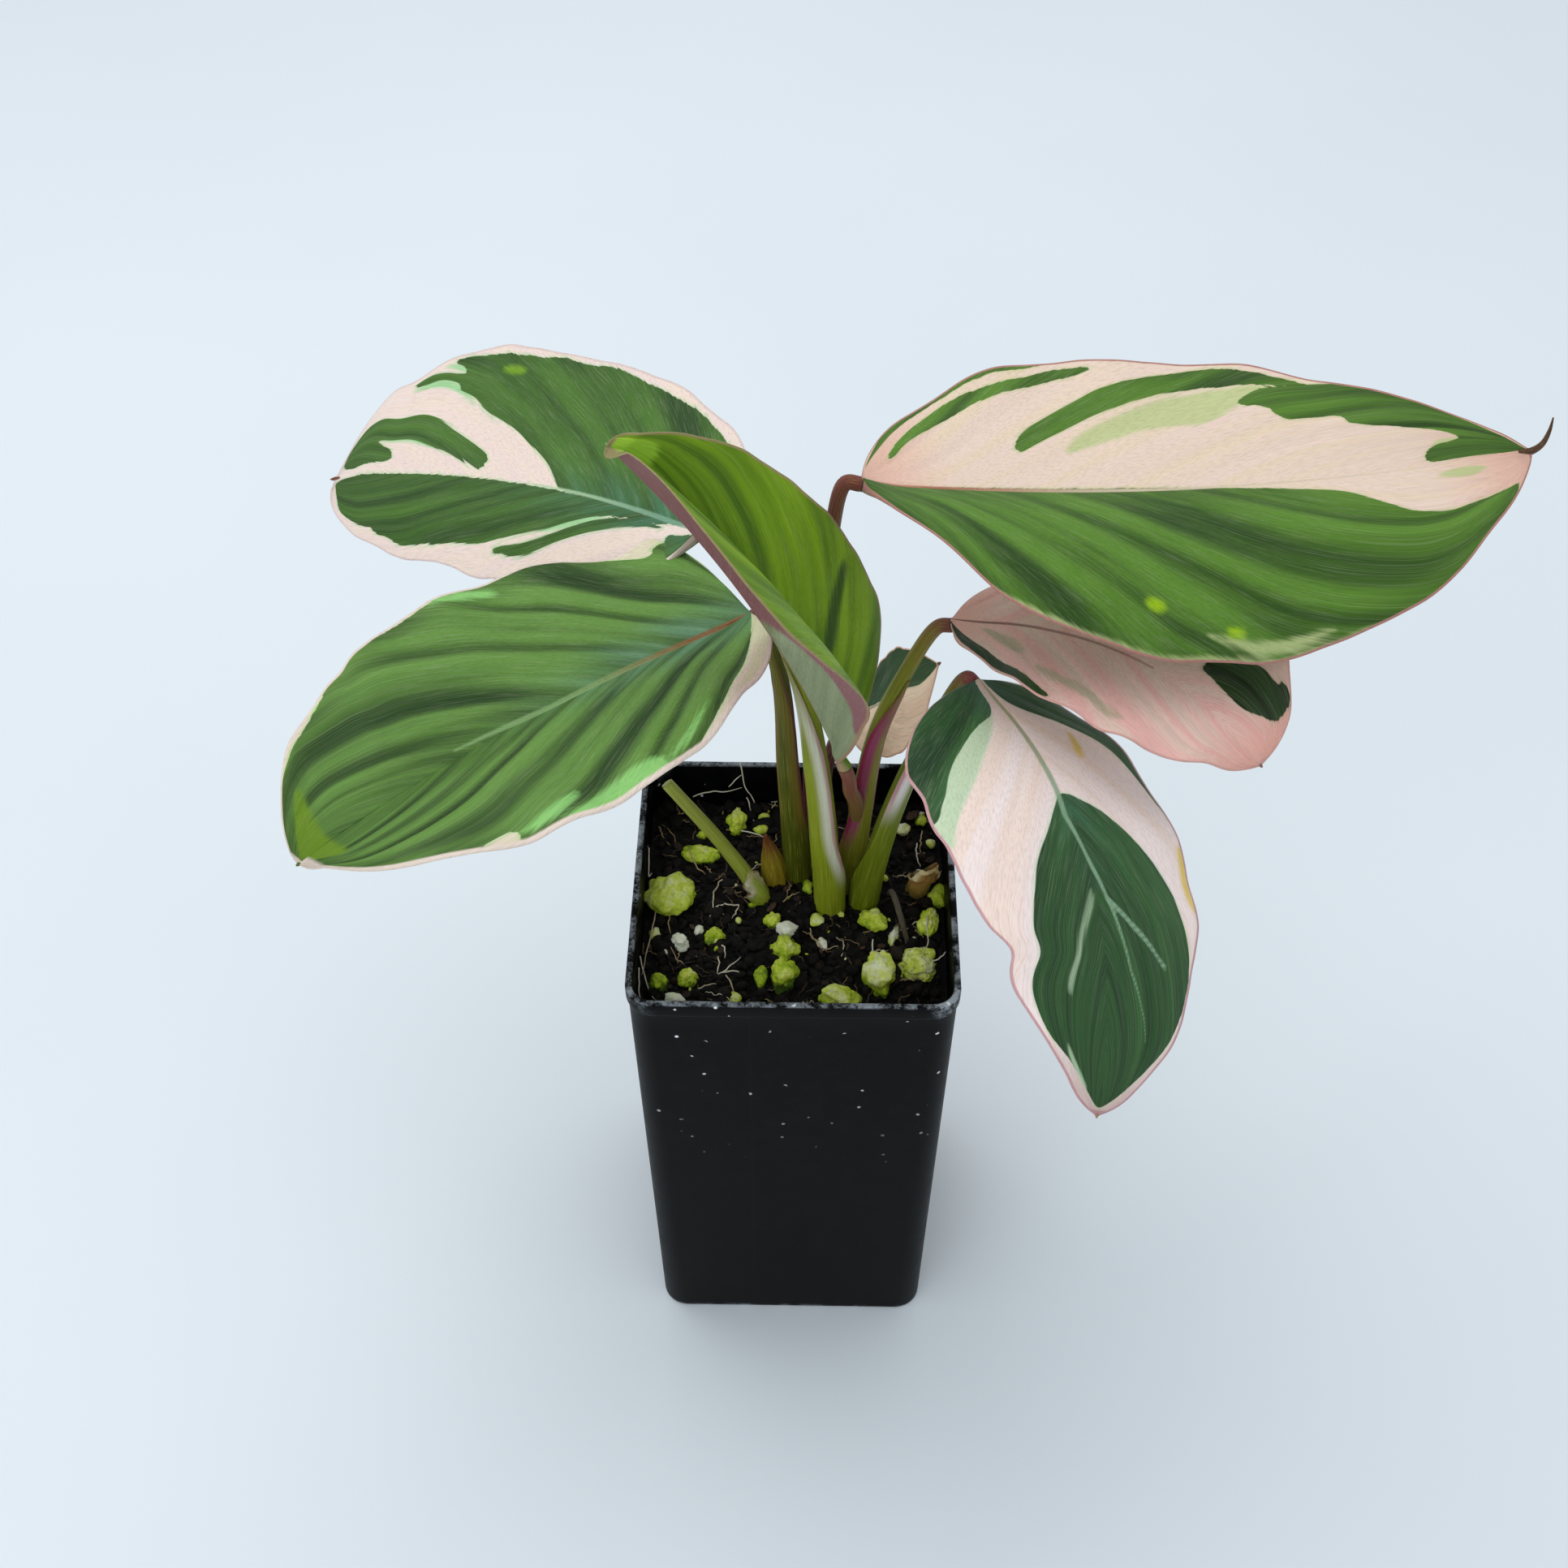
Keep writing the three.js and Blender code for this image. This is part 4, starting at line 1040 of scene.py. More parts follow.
root_piece("living_roots", root_skins(ROOTS, ROOT_RADIUS, 0.1, 3))
dice = random.Random(8)
fibres = []
for index in range(FIBRES):
    x, y, way = dice.uniform(-31, 31), dice.uniform(-31, 31), dice.uniform(0, 6.3)
    route = []
    for step in range(dice.choice((3, 3, 4, 5))):
        route.append((x, y, dice.uniform(-0.1, 0.9)))
        stride = dice.uniform(1, 2.6)
        way += dice.uniform(-0.9, 0.9)
        x, y = x + stride * math.cos(way), y + stride * math.sin(way)
    fibres.append((route, dice.random() ** 2.2 * 0.9))
root_piece("peat_fibres", root_skins(fibres, 0.11, 0.15, 4))


# Leaf blades. Thin leathery blades, pleated along their side veins, with a raised rib below. Each
# is green, cream and pink in streaks that follow the veins, and paler and duller on its underside.
BLADE_ROWS = 150
BLADE_COLUMNS = 48
BLADE_HALF = 0.3
MARGIN_HALF = 0.12
RIB_DEPTH = 0.9
PLEAT_RISE = 0.5
# Dents in the margins: half of the blade, share of the length, depth and length in mm
MARGIN_DENTS = {
    "leaf_back_left": [("right", 0.885, 3.2, 4.5), ("right", 0.5, 0.8, 6), ("right", 0.66, 0.7, 4),
                       ("left", 0.6, 0.6, 9)],
    "leaf_front_left": [("right", 0.04, -9, 8), ("right", 0.71, 0.8, 3), ("left", 0.16, 1.4, 5),
                        ("left", 0.66, 0.6, 6)],
    "leaf_right_large": [("left", 0.12, 0.8, 6), ("right", 0.1, 1.0, 6), ("right", 0.9, 0.6, 5)],
    "leaf_right_low": [("right", 0.17, 1.2, 6), ("left", 0.86, 1.2, 4), ("right", 0.9, 1.2, 3)],
    "leaf_front_right": [("right", 0.7, 1.8, 3.2), ("left", 0.3, 0.7, 6), ("right", 0.92, 0.6, 4)],
}
WOBBLE = 0.22


def midrib(leaf, share):
    steps = np.linspace(0, 1, 241)
    along = leaf_axes(leaf, (steps[1:] + steps[:-1]) / 2)[0]
    line = np.vstack([[0, 0, 0], np.cumsum(along * leaf["length"] / 240, 0)]) + np.array(leaf["base"])
    return np.stack([np.interp(share, steps, line[:, axis]) for axis in range(3)], -1)


def half_width(leaf, side, share):
    width, _, _, belly = leaf[side]
    toward_base = np.clip(1 - ((belly - share) / belly) ** 2, 0, None) ** leaf["round"]
    toward_tip = np.clip(1 - ((share - belly) / (1 - belly)) ** 2, 0, None) ** leaf["point"]
    plain = width * np.where(share < belly, toward_base, toward_tip)
    dent = 0
    for where, middle, depth, length in leaf["dents"]:
        if where == side:
            dent = dent + depth * np.exp(-(((share - middle) * leaf["length"] / length) ** 2))
    phase = leaf["heading"] + (0 if side == "left" else 2)
    waves = np.sin(20 * share + phase) + 0.6 * np.sin(47 * share + 2 * phase)
    waves = waves + 0.15 * np.sin(101 * share + phase)
    dented = plain - (dent - WOBBLE * waves) * smooth(plain, 2, 9)
    return np.maximum(STALK_RADIUS + (0.5 - STALK_RADIUS) * share, dented)


def blade_grid(leaf, share, across):
    """Middle surface, its normals, and the distance in mm from the midrib and to the margin."""
    _, aside, above = leaf_axes(leaf, share)
    middle = midrib(leaf, share)
    points, normals = np.zeros_like(middle), np.zeros_like(middle)
    reach, wide = np.zeros_like(share), np.zeros_like(share)
    for sign, side in ((1, "left"), (-1, "right")):
        half = leaf[side]
        here = across >= 0 if sign > 0 else across < 0
        width = half_width(leaf, side, share)
        folded = smooth(width, FOLD_FROM, FOLD_FULL)
        fold = np.radians(half[1]) * folded
        bend = np.radians(half[2]) / half[0]
        out_way = np.abs(across) * width
        angle = fold + bend * out_way
        out = (np.sin(angle) - np.sin(fold)) / bend
        down = (np.cos(fold) - np.cos(angle)) / bend
        ripple = leaf["ripple"] * folded * across ** 2 * np.sin(2 * np.pi * RIPPLE_WAVES * share + sign)
        there = middle + aside * (sign * out)[..., None] + above * (ripple - down)[..., None]
        points[here] = there[here]
        normals[here] = (aside * (sign * np.sin(angle))[..., None] + above
                         * np.cos(angle)[..., None])[here]
        reach[here] = out_way[here]
        wide[here] = width[here]
    return points, normals, reach, wide


def rounded(outline, turns=2):
    """Cuts the corners of a closed outline so that it runs smoothly."""
    outline = np.array(outline, dtype=float)
    for turn in range(turns):
        after = np.roll(outline, -1, 0)
        outline = np.stack([0.75 * outline + 0.25 * after, 0.25 * outline + 0.75 * after],
                           1).reshape(-1, 2)
    return outline


def depth_inside(outline, places, scale):
    """Distance in mm to a closed outline of (share, across), positive inside it."""
    outline = rounded(outline) * scale
    x, y = places[:, 0], places[:, 1]
    nearest = np.full(len(x), 1e9)
    inside = np.zeros(len(x), dtype=bool)
    for (ax, ay), (bx, by) in zip(outline, np.roll(outline, -1, 0)):
        dx, dy = bx - ax, by - ay
        part = np.clip(((x - ax) * dx + (y - ay) * dy) / max(dx * dx + dy * dy, 1e-9), 0, 1)
        nearest = np.minimum(nearest, (x - ax - part * dx) ** 2 + (y - ay - part * dy) ** 2)
        if ay != by:
            crosses = ((ay > y) != (by > y)) & (x < ax + (y - ay) * dx / dy)
            inside ^= crosses
    return np.where(inside, 1, -1) * np.sqrt(nearest)


def line_depth(route, places, scale, widths):
    """Distance in mm outside a vein drawn along a route, whose half width tapers along it."""
    route = np.array(route, dtype=float) * scale
    best = np.full(len(places), 1e9)
    for step in range(len(route) - 1):
        a, b = route[step], route[step + 1]
        way = b - a
        part = np.clip(((places - a) @ way) / max(way @ way, 1e-9), 0, 1)
        away = np.linalg.norm(places - a - part[:, None] * way, axis=1)
        thick = np.interp((step + part) / (len(route) - 1), (0, 1), widths)
        best = np.minimum(best, away - thick)
    return best


blade_colours, given, gives = effect(
    "blade_colours",
    {"Veins": "Vector", "Marks": "Vector", "Extras": "Vector", "Mint": "Float", "Deep": "Color",
     "Fresh": "Color",
     "Ground": "Color", "Blush": "Color", "Ends": "Color", "Wash": "Color", "Rim": "Color",
     "Rib Foot": "Color",
     "Rib": "Color", "Stain": "Color", "Bloom": "Color", "Ragged": "Float", "Stripes And Pleat Shade": "Float",
     "Painted Sheen Amount": "Float"},
    {"Colour": "Color", "Rough": "Float", "Height": "Float"})
tree = blade_colours
vein = add_node(tree, "SeparateXYZ", {0: given["Veins"]}).outputs
mark = add_node(tree, "SeparateXYZ", {0: given["Marks"]}).outputs
extra = add_node(tree, "SeparateXYZ", {0: given["Extras"]}).outputs
outwards = calc(tree, "MULTIPLY", vein["Z"], 0.1)
along_veins = add_node(tree, "CombineXYZ", {0: vein["X"], 1: outwards}).outputs[0]
over_blade = add_node(tree, "CombineXYZ", {0: vein["X"], 1: vein["Z"]}).outputs[0]
jag = calc(tree, "SUBTRACT", cloud(tree, along_veins, 0.45, 3.0, 0.6), 0.5)
jag_fine = calc(tree, "SUBTRACT", cloud(tree, along_veins, 1.5, 2.0, 0.5), 0.5)
streak = cloud(tree, along_veins, 0.16, 2.0, 0.45)
blotch = cloud(tree, over_blade, 0.045, 3.0, 0.6)
fibre = cloud(tree, along_veins, 2.4, 2.0, 0.5)
skin = cloud(tree, over_blade, 1.6, 3.0, 0.6)

# Green parts, streaked along the veins; the narrow valleys between the broad pleat ridges are darker
# and the ridges lighter, partly the blade's own stripes and partly painted shade in the creases
shake = calc(tree, "MULTIPLY", calc(tree, "ADD", jag, calc(tree, "MULTIPLY", jag_fine, 0.5)),
             given["Ragged"])
green = ease(tree, calc(tree, "ADD", mark["X"], shake), -0.14, 0.14)
uneven = calc(tree, "ADD", calc(tree, "MULTIPLY", calc(tree, "SUBTRACT", streak, 0.5), 2.0),
              calc(tree, "MULTIPLY", calc(tree, "SUBTRACT", blotch, 0.5), 1.6))
ridge = calc(tree, "ADD", calc(tree, "MULTIPLY", extra["Z"], given["Stripes And Pleat Shade"]), uneven)
ridge = calc(tree, "ADD", ridge, calc(tree, "MULTIPLY", jag_fine, 0.25))
dark = tint(tree, ease(tree, ridge, -0.8, 0.9), given["Deep"], given["Fresh"])
# Painted sheen: a bluish grey-green laid over the green along the midrib towards the base.
near_rib = calc(tree, "MULTIPLY", ease(tree, calc(tree, "ABSOLUTE", vein["Z"]), 11, 0.5),
                ease(tree, vein["Y"], 0.62, 0.15))
painted_sheen = calc(tree, "MULTIPLY", calc(tree, "MULTIPLY", near_rib, ease(tree, streak, 0.3, 0.7)),
             given["Painted Sheen Amount"])
dark = tint(tree, painted_sheen, dark, given["Bloom"])

# Pale parts, warmer at both ends of the blade, with a thin wash of green beside the green parts
pale = tint(tree, ease(tree, streak, 0.4, 0.66), given["Ground"], given["Blush"])
ends = calc(tree, "MAXIMUM", ease(tree, vein["Y"], 0.16, 0.01), ease(tree, vein["Y"], 0.82, 0.98))
pale = tint(tree, calc(tree, "MULTIPLY", ends, 0.85), pale, given["Ends"])
fringe = ease(tree, calc(tree, "ADD", calc(tree, "ADD", mark["X"], 0.5),
                         calc(tree, "MULTIPLY", shake, 2.2)), -0.3, 0.3)
washed = ease(tree, calc(tree, "ADD", mark["Y"], calc(tree, "MULTIPLY", shake, 1.8)), -0.8, 0.8)
wash = calc(tree, "MAXIMUM", calc(tree, "MULTIPLY", washed, 0.85), calc(tree, "MULTIPLY", fringe, 0.4))
pale = tint(tree, wash, pale, given["Wash"])
colour = tint(tree, green, pale, dark)
mint = ease(tree, calc(tree, "ADD", given["Mint"], calc(tree, "MULTIPLY", shake, 2.0)), -0.8, 0.9)
colour = tint(tree, calc(tree, "MULTIPLY", mint, 0.8), colour, given["Wash"])
# Stains, and on the young centre blade the painted shadow of a fold.
stain_and_shade_mask = ease(tree, calc(tree, "ADD", extra["Y"], calc(tree, "MULTIPLY", jag_fine, 1.2)), -0.9, 0.9)
colour = tint(tree, stain_and_shade_mask, colour, given["Stain"])

# Margin, midrib and the fine grain of the skin
rim_here = ease(tree, calc(tree, "ADD", mark["Z"], calc(tree, "MULTIPLY", shake, 0.25)), 1.25, 0.7)
colour = tint(tree, rim_here, colour, given["Rim"])
rib_colour = tint(tree, ease(tree, vein["Y"], 0.08, 0.42), given["Rib Foot"], given["Rib"])
colour = tint(tree, calc(tree, "MULTIPLY", ease(tree, extra["X"], 0.32, -0.3), 0.85), colour,
              rib_colour)
colour = tint(tree, calc(tree, "MULTIPLY", ease(tree, fibre, 0.45, 0.75), 0.07), colour,
              paint("F4F4D8"))
colour = tint(tree, calc(tree, "MULTIPLY", ease(tree, skin, 0.4, 0.75), 0.22), colour, paint("7C7C60"),
              "MULTIPLY")
tree.links.new(colour, gives["Colour"])
rough = calc(tree, "ADD", 0.44, calc(tree, "MULTIPLY", skin, 0.16))
tree.links.new(rough, gives["Rough"])
relief = calc(tree, "ADD", calc(tree, "MULTIPLY", fibre, 0.12), calc(tree, "MULTIPLY", skin, 0.06))
tree.links.new(relief, gives["Height"])


TONE_NAMES = ("Deep", "Fresh", "Ground", "Blush", "Ends", "Wash", "Rim", "Rib Foot", "Rib", "Stain",
              "Bloom")


def blade_look(name, tones, ragged, stripe, painted_sheen_amount, gloss):
    look, tree, surface = new_material(name)
    feeds = {"Veins": stored(tree, "veins", "Vector"), "Marks": stored(tree, "marks", "Vector"),
             "Extras": stored(tree, "extras", "Vector"), "Mint": stored(tree, "mint"), "Ragged": ragged,
             "Stripes And Pleat Shade": stripe, "Painted Sheen Amount": painted_sheen_amount}
    for label, code in zip(TONE_NAMES, tones):
        feeds[label] = paint(code)
    face = apply_effect(tree, blade_colours, feeds)
    connect(tree, surface, colour=face["Colour"], rough=face["Rough"], height=face["Height"])
    surface.inputs["Subsurface Weight"].default_value = 0.08
    surface.inputs["Subsurface Scale"].default_value = 0.0015
    surface.inputs["Specular IOR Level"].default_value = gloss
    return look


def dull(code, share, toward):
    """Underside tone: the upper tone moved towards a duller one."""
    pairs = [(int(code[i:i + 2], 16), int(toward[i:i + 2], 16)) for i in (0, 2, 4)]
    mixed = [round(old * (1 - share) + new * share) for old, new in pairs]
    return "".join(f"{part:02X}" for part in mixed)


# Markings of each blade. Green parts, pale green washes over the cream, mint streaks over the green
# and stains (on the young centre blade, a painted shadow of a fold) are closed outlines of (share of
# the length, share across, with the left half above 0).
# ribs are pale veins with their half widths in mm at both ends, rims the widths of the two margins.
# tones gives the colours of TONE_NAMES, below those of the underside where they aren't just duller.
MARKS = {
    "leaf_back_left": dict(
        green=[
            [(0.05, 0.03), (0.3, 0.03), (0.45, 0.03), (0.6, 0.03), (0.85, 0.0), (0.97, -0.02),
             (1.0, 0.3), (0.97, 0.7), (0.955, 0.86), (0.9, 0.82), (0.84, 0.8), (0.82, 0.86),
             (0.78, 0.83), (0.75, 0.87), (0.7, 0.84), (0.62, 0.81), (0.55, 0.74), (0.47, 0.65),
             (0.4, 0.55), (0.33, 0.41), (0.27, 0.26), (0.22, 0.16), (0.12, 0.13)],
            [(0.06, 0.12), (0.14, 0.2), (0.2, 0.33), (0.27, 0.48), (0.33, 0.62), (0.37, 0.74),
             (0.41, 0.77), (0.47, 0.75), (0.45, 0.68), (0.4, 0.66), (0.34, 0.53), (0.28, 0.37),
             (0.22, 0.2), (0.15, 0.1)],
            [(0.02, 0.04), (0.15, 0.04), (0.3, 0.04), (0.37, 0.02), (0.4, -0.05), (0.45, -0.17),
             (0.5, -0.26), (0.6, -0.4), (0.69, -0.51), (0.72, -0.6), (0.77, -0.68), (0.78, -0.74),
             (0.82, -0.8), (0.86, -0.84), (0.885, -0.93), (0.86, -0.94), (0.82, -0.86), (0.77, -0.8),
             (0.78, -0.87), (0.82, -0.94), (0.79, -0.97), (0.75, -0.93), (0.62, -0.93), (0.57, -0.97),
             (0.5, -0.94), (0.45, -0.97), (0.38, -0.94), (0.25, -0.9), (0.22, -0.94), (0.15, -0.9),
             (0.08, -0.87), (0.03, -0.6)],
            [(0.6, -0.03), (0.65, -0.09), (0.7, -0.15), (0.76, -0.21), (0.82, -0.29), (0.87, -0.35),
             (0.93, -0.4), (0.89, -0.3), (0.865, -0.22), (0.86, -0.12), (0.92, -0.15), (0.98, -0.08),
             (1.0, -0.4), (0.985, -0.75), (0.93, -0.65), (0.88, -0.59), (0.82, -0.5), (0.77, -0.42),
             (0.72, -0.32), (0.66, -0.24), (0.6, -0.16)],
            [(0.0, 0.2), (0.03, 0.22), (0.06, 0.2), (0.04, 0.5), (0.07, 0.6), (0.03, 0.75), (0.0, 0.9)],
        ],
        wash=[
            [(0.2, 0.15), (0.26, 0.22), (0.32, 0.37), (0.37, 0.46), (0.35, 0.49), (0.28, 0.38),
             (0.23, 0.25)],
            [(0.75, -0.21), (0.79, -0.22), (0.85, -0.3), (0.93, -0.39), (0.87, -0.38), (0.81, -0.33),
             (0.77, -0.3)],
            [(0.69, -0.51), (0.74, -0.58), (0.79, -0.69), (0.85, -0.78), (0.89, -0.9), (0.84, -0.85),
             (0.78, -0.76)],
            [(0.76, -0.79), (0.8, -0.86), (0.84, -0.96), (0.78, -0.9)],
        ],
        stain=[[(0.63, -0.8), (0.68, -0.78), (0.69, -0.84), (0.64, -0.86)]],
        ribs=[([(0, 0), (0.2, 0.01), (0.45, 0.01)], (1.1, 0.25))],
        rims=(0.45, 0.55), ragged=1.6, stripe=0.3, painted_sheen_amount=0.55, pleats=6, lean=(0.35, 0.4),
        tip=("mucro", "8A4A34"),
        tones="224410 4C7626 EFDACB EDD6CF EFDCD2 8FD08A E8D0C8 78A286 B4D0A4 6F9A08 3F7A68"),
    "leaf_front_left": dict(
        green=[
            [(-0.03, 0.0), (0.03, 0.45), (0.08, 0.66), (0.15, 0.82), (0.22, 0.9), (0.32, 0.96),
             (0.42, 1.1), (0.6, 1.1), (0.73, 1.0), (0.71, 0.93), (0.71, 0.86), (0.76, 0.9), (0.8, 1.02),
             (0.9, 1.1), (1.02, 0.9), (1.05, 0), (1.02, -0.9), (0.95, -1.0), (0.88, -0.93),
             (0.8, -0.95), (0.7, -1.02), (0.6, -0.98), (0.5, -0.98), (0.3, -1.02), (0.18, -1.0),
             (0.14, -0.95), (0.1, -0.82), (0.07, -0.9), (0.03, -1.02), (-0.02, -0.5)],
        ],
        wash=[
            [(0.39, 0.86), (0.41, 1.1), (0.55, 1.1), (0.62, 0.98), (0.55, 0.88), (0.48, 0.85)],
            [(0.74, -0.88), (0.8, -0.93), (0.79, -1.0), (0.76, -0.96)],
        ],
        mint=[
            [(0.56, 0.79), (0.6, 0.88), (0.66, 0.94), (0.73, 0.91), (0.66, 0.85), (0.6, 0.8)],
            [(0.22, 0.78), (0.28, 0.85), (0.38, 0.95), (0.44, 0.97), (0.32, 0.84)],
            [(0.37, -0.86), (0.45, -0.92), (0.52, -0.99), (0.4, -0.99)],
            [(0.39, 0.86), (0.41, 1.1), (0.6, 1.1), (0.66, 0.98), (0.55, 0.88), (0.48, 0.85)],
        ],
        stain=[[(0.93, 0.5), (0.99, 0.3), (0.99, -0.5), (0.9, -0.85), (0.93, -0.3), (0.93, 0.1)]],
        ribs=[([(-0.02, 0), (0.45, 0.0), (0.65, -0.06)], (1.2, 0.2))],
        rims=(1.2, 0.45), ragged=1.3, stripe=0.55, painted_sheen_amount=0.6, pleats=6.5, lean=(0.62, 0.4),
        tip=("blunt", "6E8A3C"),
        tones="1E4006 68943E E6D6C2 DCD6AE DFDCB4 96D878 EAD8CA 94603A 86AA6C 6A8E12 6E9E8A"),
    "leaf_centre_young": dict(
        green=[[(-0.1, -1.3), (1.1, -1.3), (1.1, 1.3), (-0.1, 1.3)]],
        mint=[[(0.93, -0.9), (0.9, 0), (0.93, 0.9), (1.1, 0.5), (1.1, -0.5)]],
        # This stain is painted shade: the dark shadow of a fold across the blade.
        stain=[[(0.26, -0.2), (0.33, -0.34), (0.4, -0.6), (0.44, -0.86), (0.41, -0.86), (0.36, -0.62),
                (0.29, -0.4)]],
        ribs=[([(0, 0), (0.4, 0), (0.8, 0)], (0.4, 0.0))],
        under_stain=[[(0.1, 0.8), (0.22, 0.62), (0.34, 0.36), (0.45, 0.05), (0.6, -0.3), (0.8, -0.4),
                      (1.0, -0.4), (1.1, 1.2), (0.14, 1.2)]],
        rims=(0.6, 0.5), under_rims=(0.8, 0.6), ragged=1.0, stripe=0.16, pleats=6,
        tip=("blunt", "A8C07C"),
        tones="426A02 90B808 C9C6A0 C9C6A0 C9C6A0 A8D43C 9C9060 7C8C2A 7C8C2A 3A5C02 5C8A3C",
        below="84906C A4AE88 C6B6A0 C6B6A0 C6B6A0 B4B894 AE8A6E 7A6A44 8A6A5C 96666A 8C9A78"),
    "leaf_right_large": dict(
        green=[
            [(0.0, -0.1), (0.06, 0.0), (0.15, 0.02), (0.3, 0.02), (0.45, 0.02), (0.55, -0.02),
             (0.65, -0.08), (0.7, -0.13), (0.73, -0.2), (0.76, -0.3), (0.8, -0.42), (0.85, -0.52),
             (0.9, -0.62), (0.94, -0.72), (0.965, -0.88), (0.93, -1.1), (0.8, -1.15), (0.5, -1.15),
             (0.2, -1.15), (0.0, -1.15), (-0.02, -0.6)],
            [(0.24, 0.33), (0.25, 0.45), (0.3, 0.58), (0.35, 0.7), (0.4, 0.8), (0.47, 0.88),
             (0.53, 0.94), (0.58, 0.96), (0.65, 0.93), (0.72, 0.95), (0.67, 0.86), (0.6, 0.82),
             (0.55, 0.81), (0.5, 0.77), (0.44, 0.69), (0.38, 0.59), (0.33, 0.49), (0.28, 0.39),
             (0.25, 0.31)],
            [(0.045, 0.48), (0.055, 0.66), (0.09, 0.8), (0.13, 0.87), (0.17, 0.89), (0.22, 0.86),
             (0.28, 0.9), (0.33, 0.95), (0.4, 0.94), (0.36, 0.89), (0.31, 0.85), (0.26, 0.8),
             (0.2, 0.76), (0.13, 0.73), (0.08, 0.65), (0.06, 0.52)],
            [(0.0, 0.7), (0.03, 0.98), (0.1, 1.1), (0.25, 1.08), (0.34, 1.02), (0.3, 0.97), (0.2, 0.95),
             (0.12, 0.96), (0.07, 0.9), (0.03, 0.8)],
            [(0.585, 0.65), (0.64, 0.66), (0.65, 0.55), (0.7, 0.6), (0.745, 0.65), (0.75, 0.54),
             (0.82, 0.57), (0.88, 0.56), (0.91, 0.5), (0.89, 0.38), (0.86, 0.3), (0.845, 0.18),
             (0.845, 0.05), (0.88, 0.07), (0.93, 0.1), (0.98, 0.1), (1.0, 0.5), (0.97, 0.9),
             (0.88, 1.0), (0.78, 1.02), (0.72, 0.96), (0.67, 0.86), (0.62, 0.78)],
        ],
        wash=[
            [(0.31, 0.29), (0.34, 0.44), (0.42, 0.6), (0.5, 0.74), (0.58, 0.8), (0.66, 0.85),
             (0.65, 0.74), (0.6, 0.68), (0.57, 0.58), (0.53, 0.5), (0.5, 0.5), (0.44, 0.47), (0.4, 0.4),
             (0.35, 0.33)],
            [(0.84, -0.13), (0.9, -0.07), (0.93, -0.2), (0.9, -0.27), (0.87, -0.2)],
            [(0.85, 0.3), (0.9, 0.5), (0.95, 0.5), (0.95, 0.2), (0.9, 0.1)],
        ],
        mint=[
            [(0.45, -0.86), (0.5, -0.92), (0.55, -0.97), (0.66, -0.94), (0.62, -0.9), (0.56, -0.9),
             (0.5, -0.88)],
            [(0.14, -0.965), (0.3, -0.975), (0.5, -0.975), (0.75, -0.985), (0.7, -1.1), (0.2, -1.1)],
        ],
        stain=[
            [(0.375, -0.71), (0.4, -0.71), (0.405, -0.77), (0.38, -0.77)],
            [(0.49, -0.83), (0.515, -0.83), (0.515, -0.88), (0.49, -0.88)],
        ],
        ribs=[([(0, 0), (0.5, 0.0), (0.98, 0.0)], (0.9, 0.1))],
        rims=(0.45, 0.55), ragged=1.1, stripe=0.4, painted_sheen_amount=0.1, pleats=7, lean=(0.35, 0.38),
        tip=("tail", "5C3A2C"),
        tones="25460C 5C8828 EBD2C2 E9D2B8 EAB8A4 BCC888 B98478 B06A54 D8C6AC 9AC000 5A7E4E"),
    "leaf_right_low": dict(
        green=[
            [(-0.02, -0.35), (0.05, -0.6), (0.12, -0.73), (0.22, -0.8), (0.33, -0.86), (0.41, -0.95),
             (0.34, -1.02), (0.2, -1.0), (0.08, -0.96), (0.0, -0.8)],
            [(0.69, 0.23), (0.73, 0.42), (0.8, 0.62), (0.86, 0.76), (0.88, 0.93), (0.92, 1.0),
             (0.94, 0.7), (0.91, 0.45), (0.86, 0.25), (0.8, 0.2), (0.73, 0.2)],
        ],
        wash=[
            [(0.08, -0.16), (0.2, -0.28), (0.26, -0.48), (0.22, -0.54), (0.14, -0.42)],
            [(0.28, -0.6), (0.4, -0.58), (0.6, -0.68), (0.64, -0.8), (0.5, -0.76), (0.38, -0.72)],
        ],
        ribs=[([(0, 0), (0.3, -0.02), (0.6, 0)], (0.9, 0.2))],
        rims=(0.5, 0.5), ragged=1.4, stripe=0.3, pleats=6, tip=("blunt", "A87A6C"),
        tones="142608 284418 E8C6B8 ECB4AC E2A698 B8A88C D8A69C 7A4A3E A8706A 8AA04A A08A78"),
    "leaf_front_right": dict(
        green=[
            [(0.0, -0.2), (0.05, -0.14), (0.09, -0.15), (0.12, -0.22), (0.13, -0.32), (0.16, -0.47),
             (0.2, -0.6), (0.27, -0.77), (0.33, -0.88), (0.39, -0.97), (0.36, -1.1), (0.15, -1.1),
             (-0.02, -0.9)],
            [(0.0, 0.12), (0.06, 0.1), (0.1, 0.22), (0.13, 0.4), (0.17, 0.6), (0.22, 0.78), (0.28, 0.9),
             (0.34, 0.96), (0.42, 0.99), (0.36, 1.1), (0.15, 1.1), (0.0, 0.8)],
            [(0.335, -0.03), (0.355, 0.12), (0.39, 0.3), (0.44, 0.47), (0.5, 0.66), (0.55, 0.76),
             (0.6, 0.79), (0.65, 0.88), (0.7, 0.96), (0.76, 0.98), (0.88, 0.9), (0.95, 0.7),
             (0.985, 0.3), (0.985, -0.3), (0.95, -0.6), (0.9, -0.76), (0.87, -0.9), (0.82, -0.88),
             (0.76, -0.8), (0.7, -0.72), (0.62, -0.6), (0.55, -0.5), (0.5, -0.42), (0.44, -0.28),
             (0.38, -0.14)],
        ],
        wash=[
            [(0.08, -0.13), (0.13, -0.22), (0.19, -0.36), (0.27, -0.55), (0.33, -0.72), (0.4, -0.86),
             (0.48, -0.98), (0.4, -1.1), (0.3, -0.9), (0.2, -0.7), (0.14, -0.45), (0.1, -0.28)],
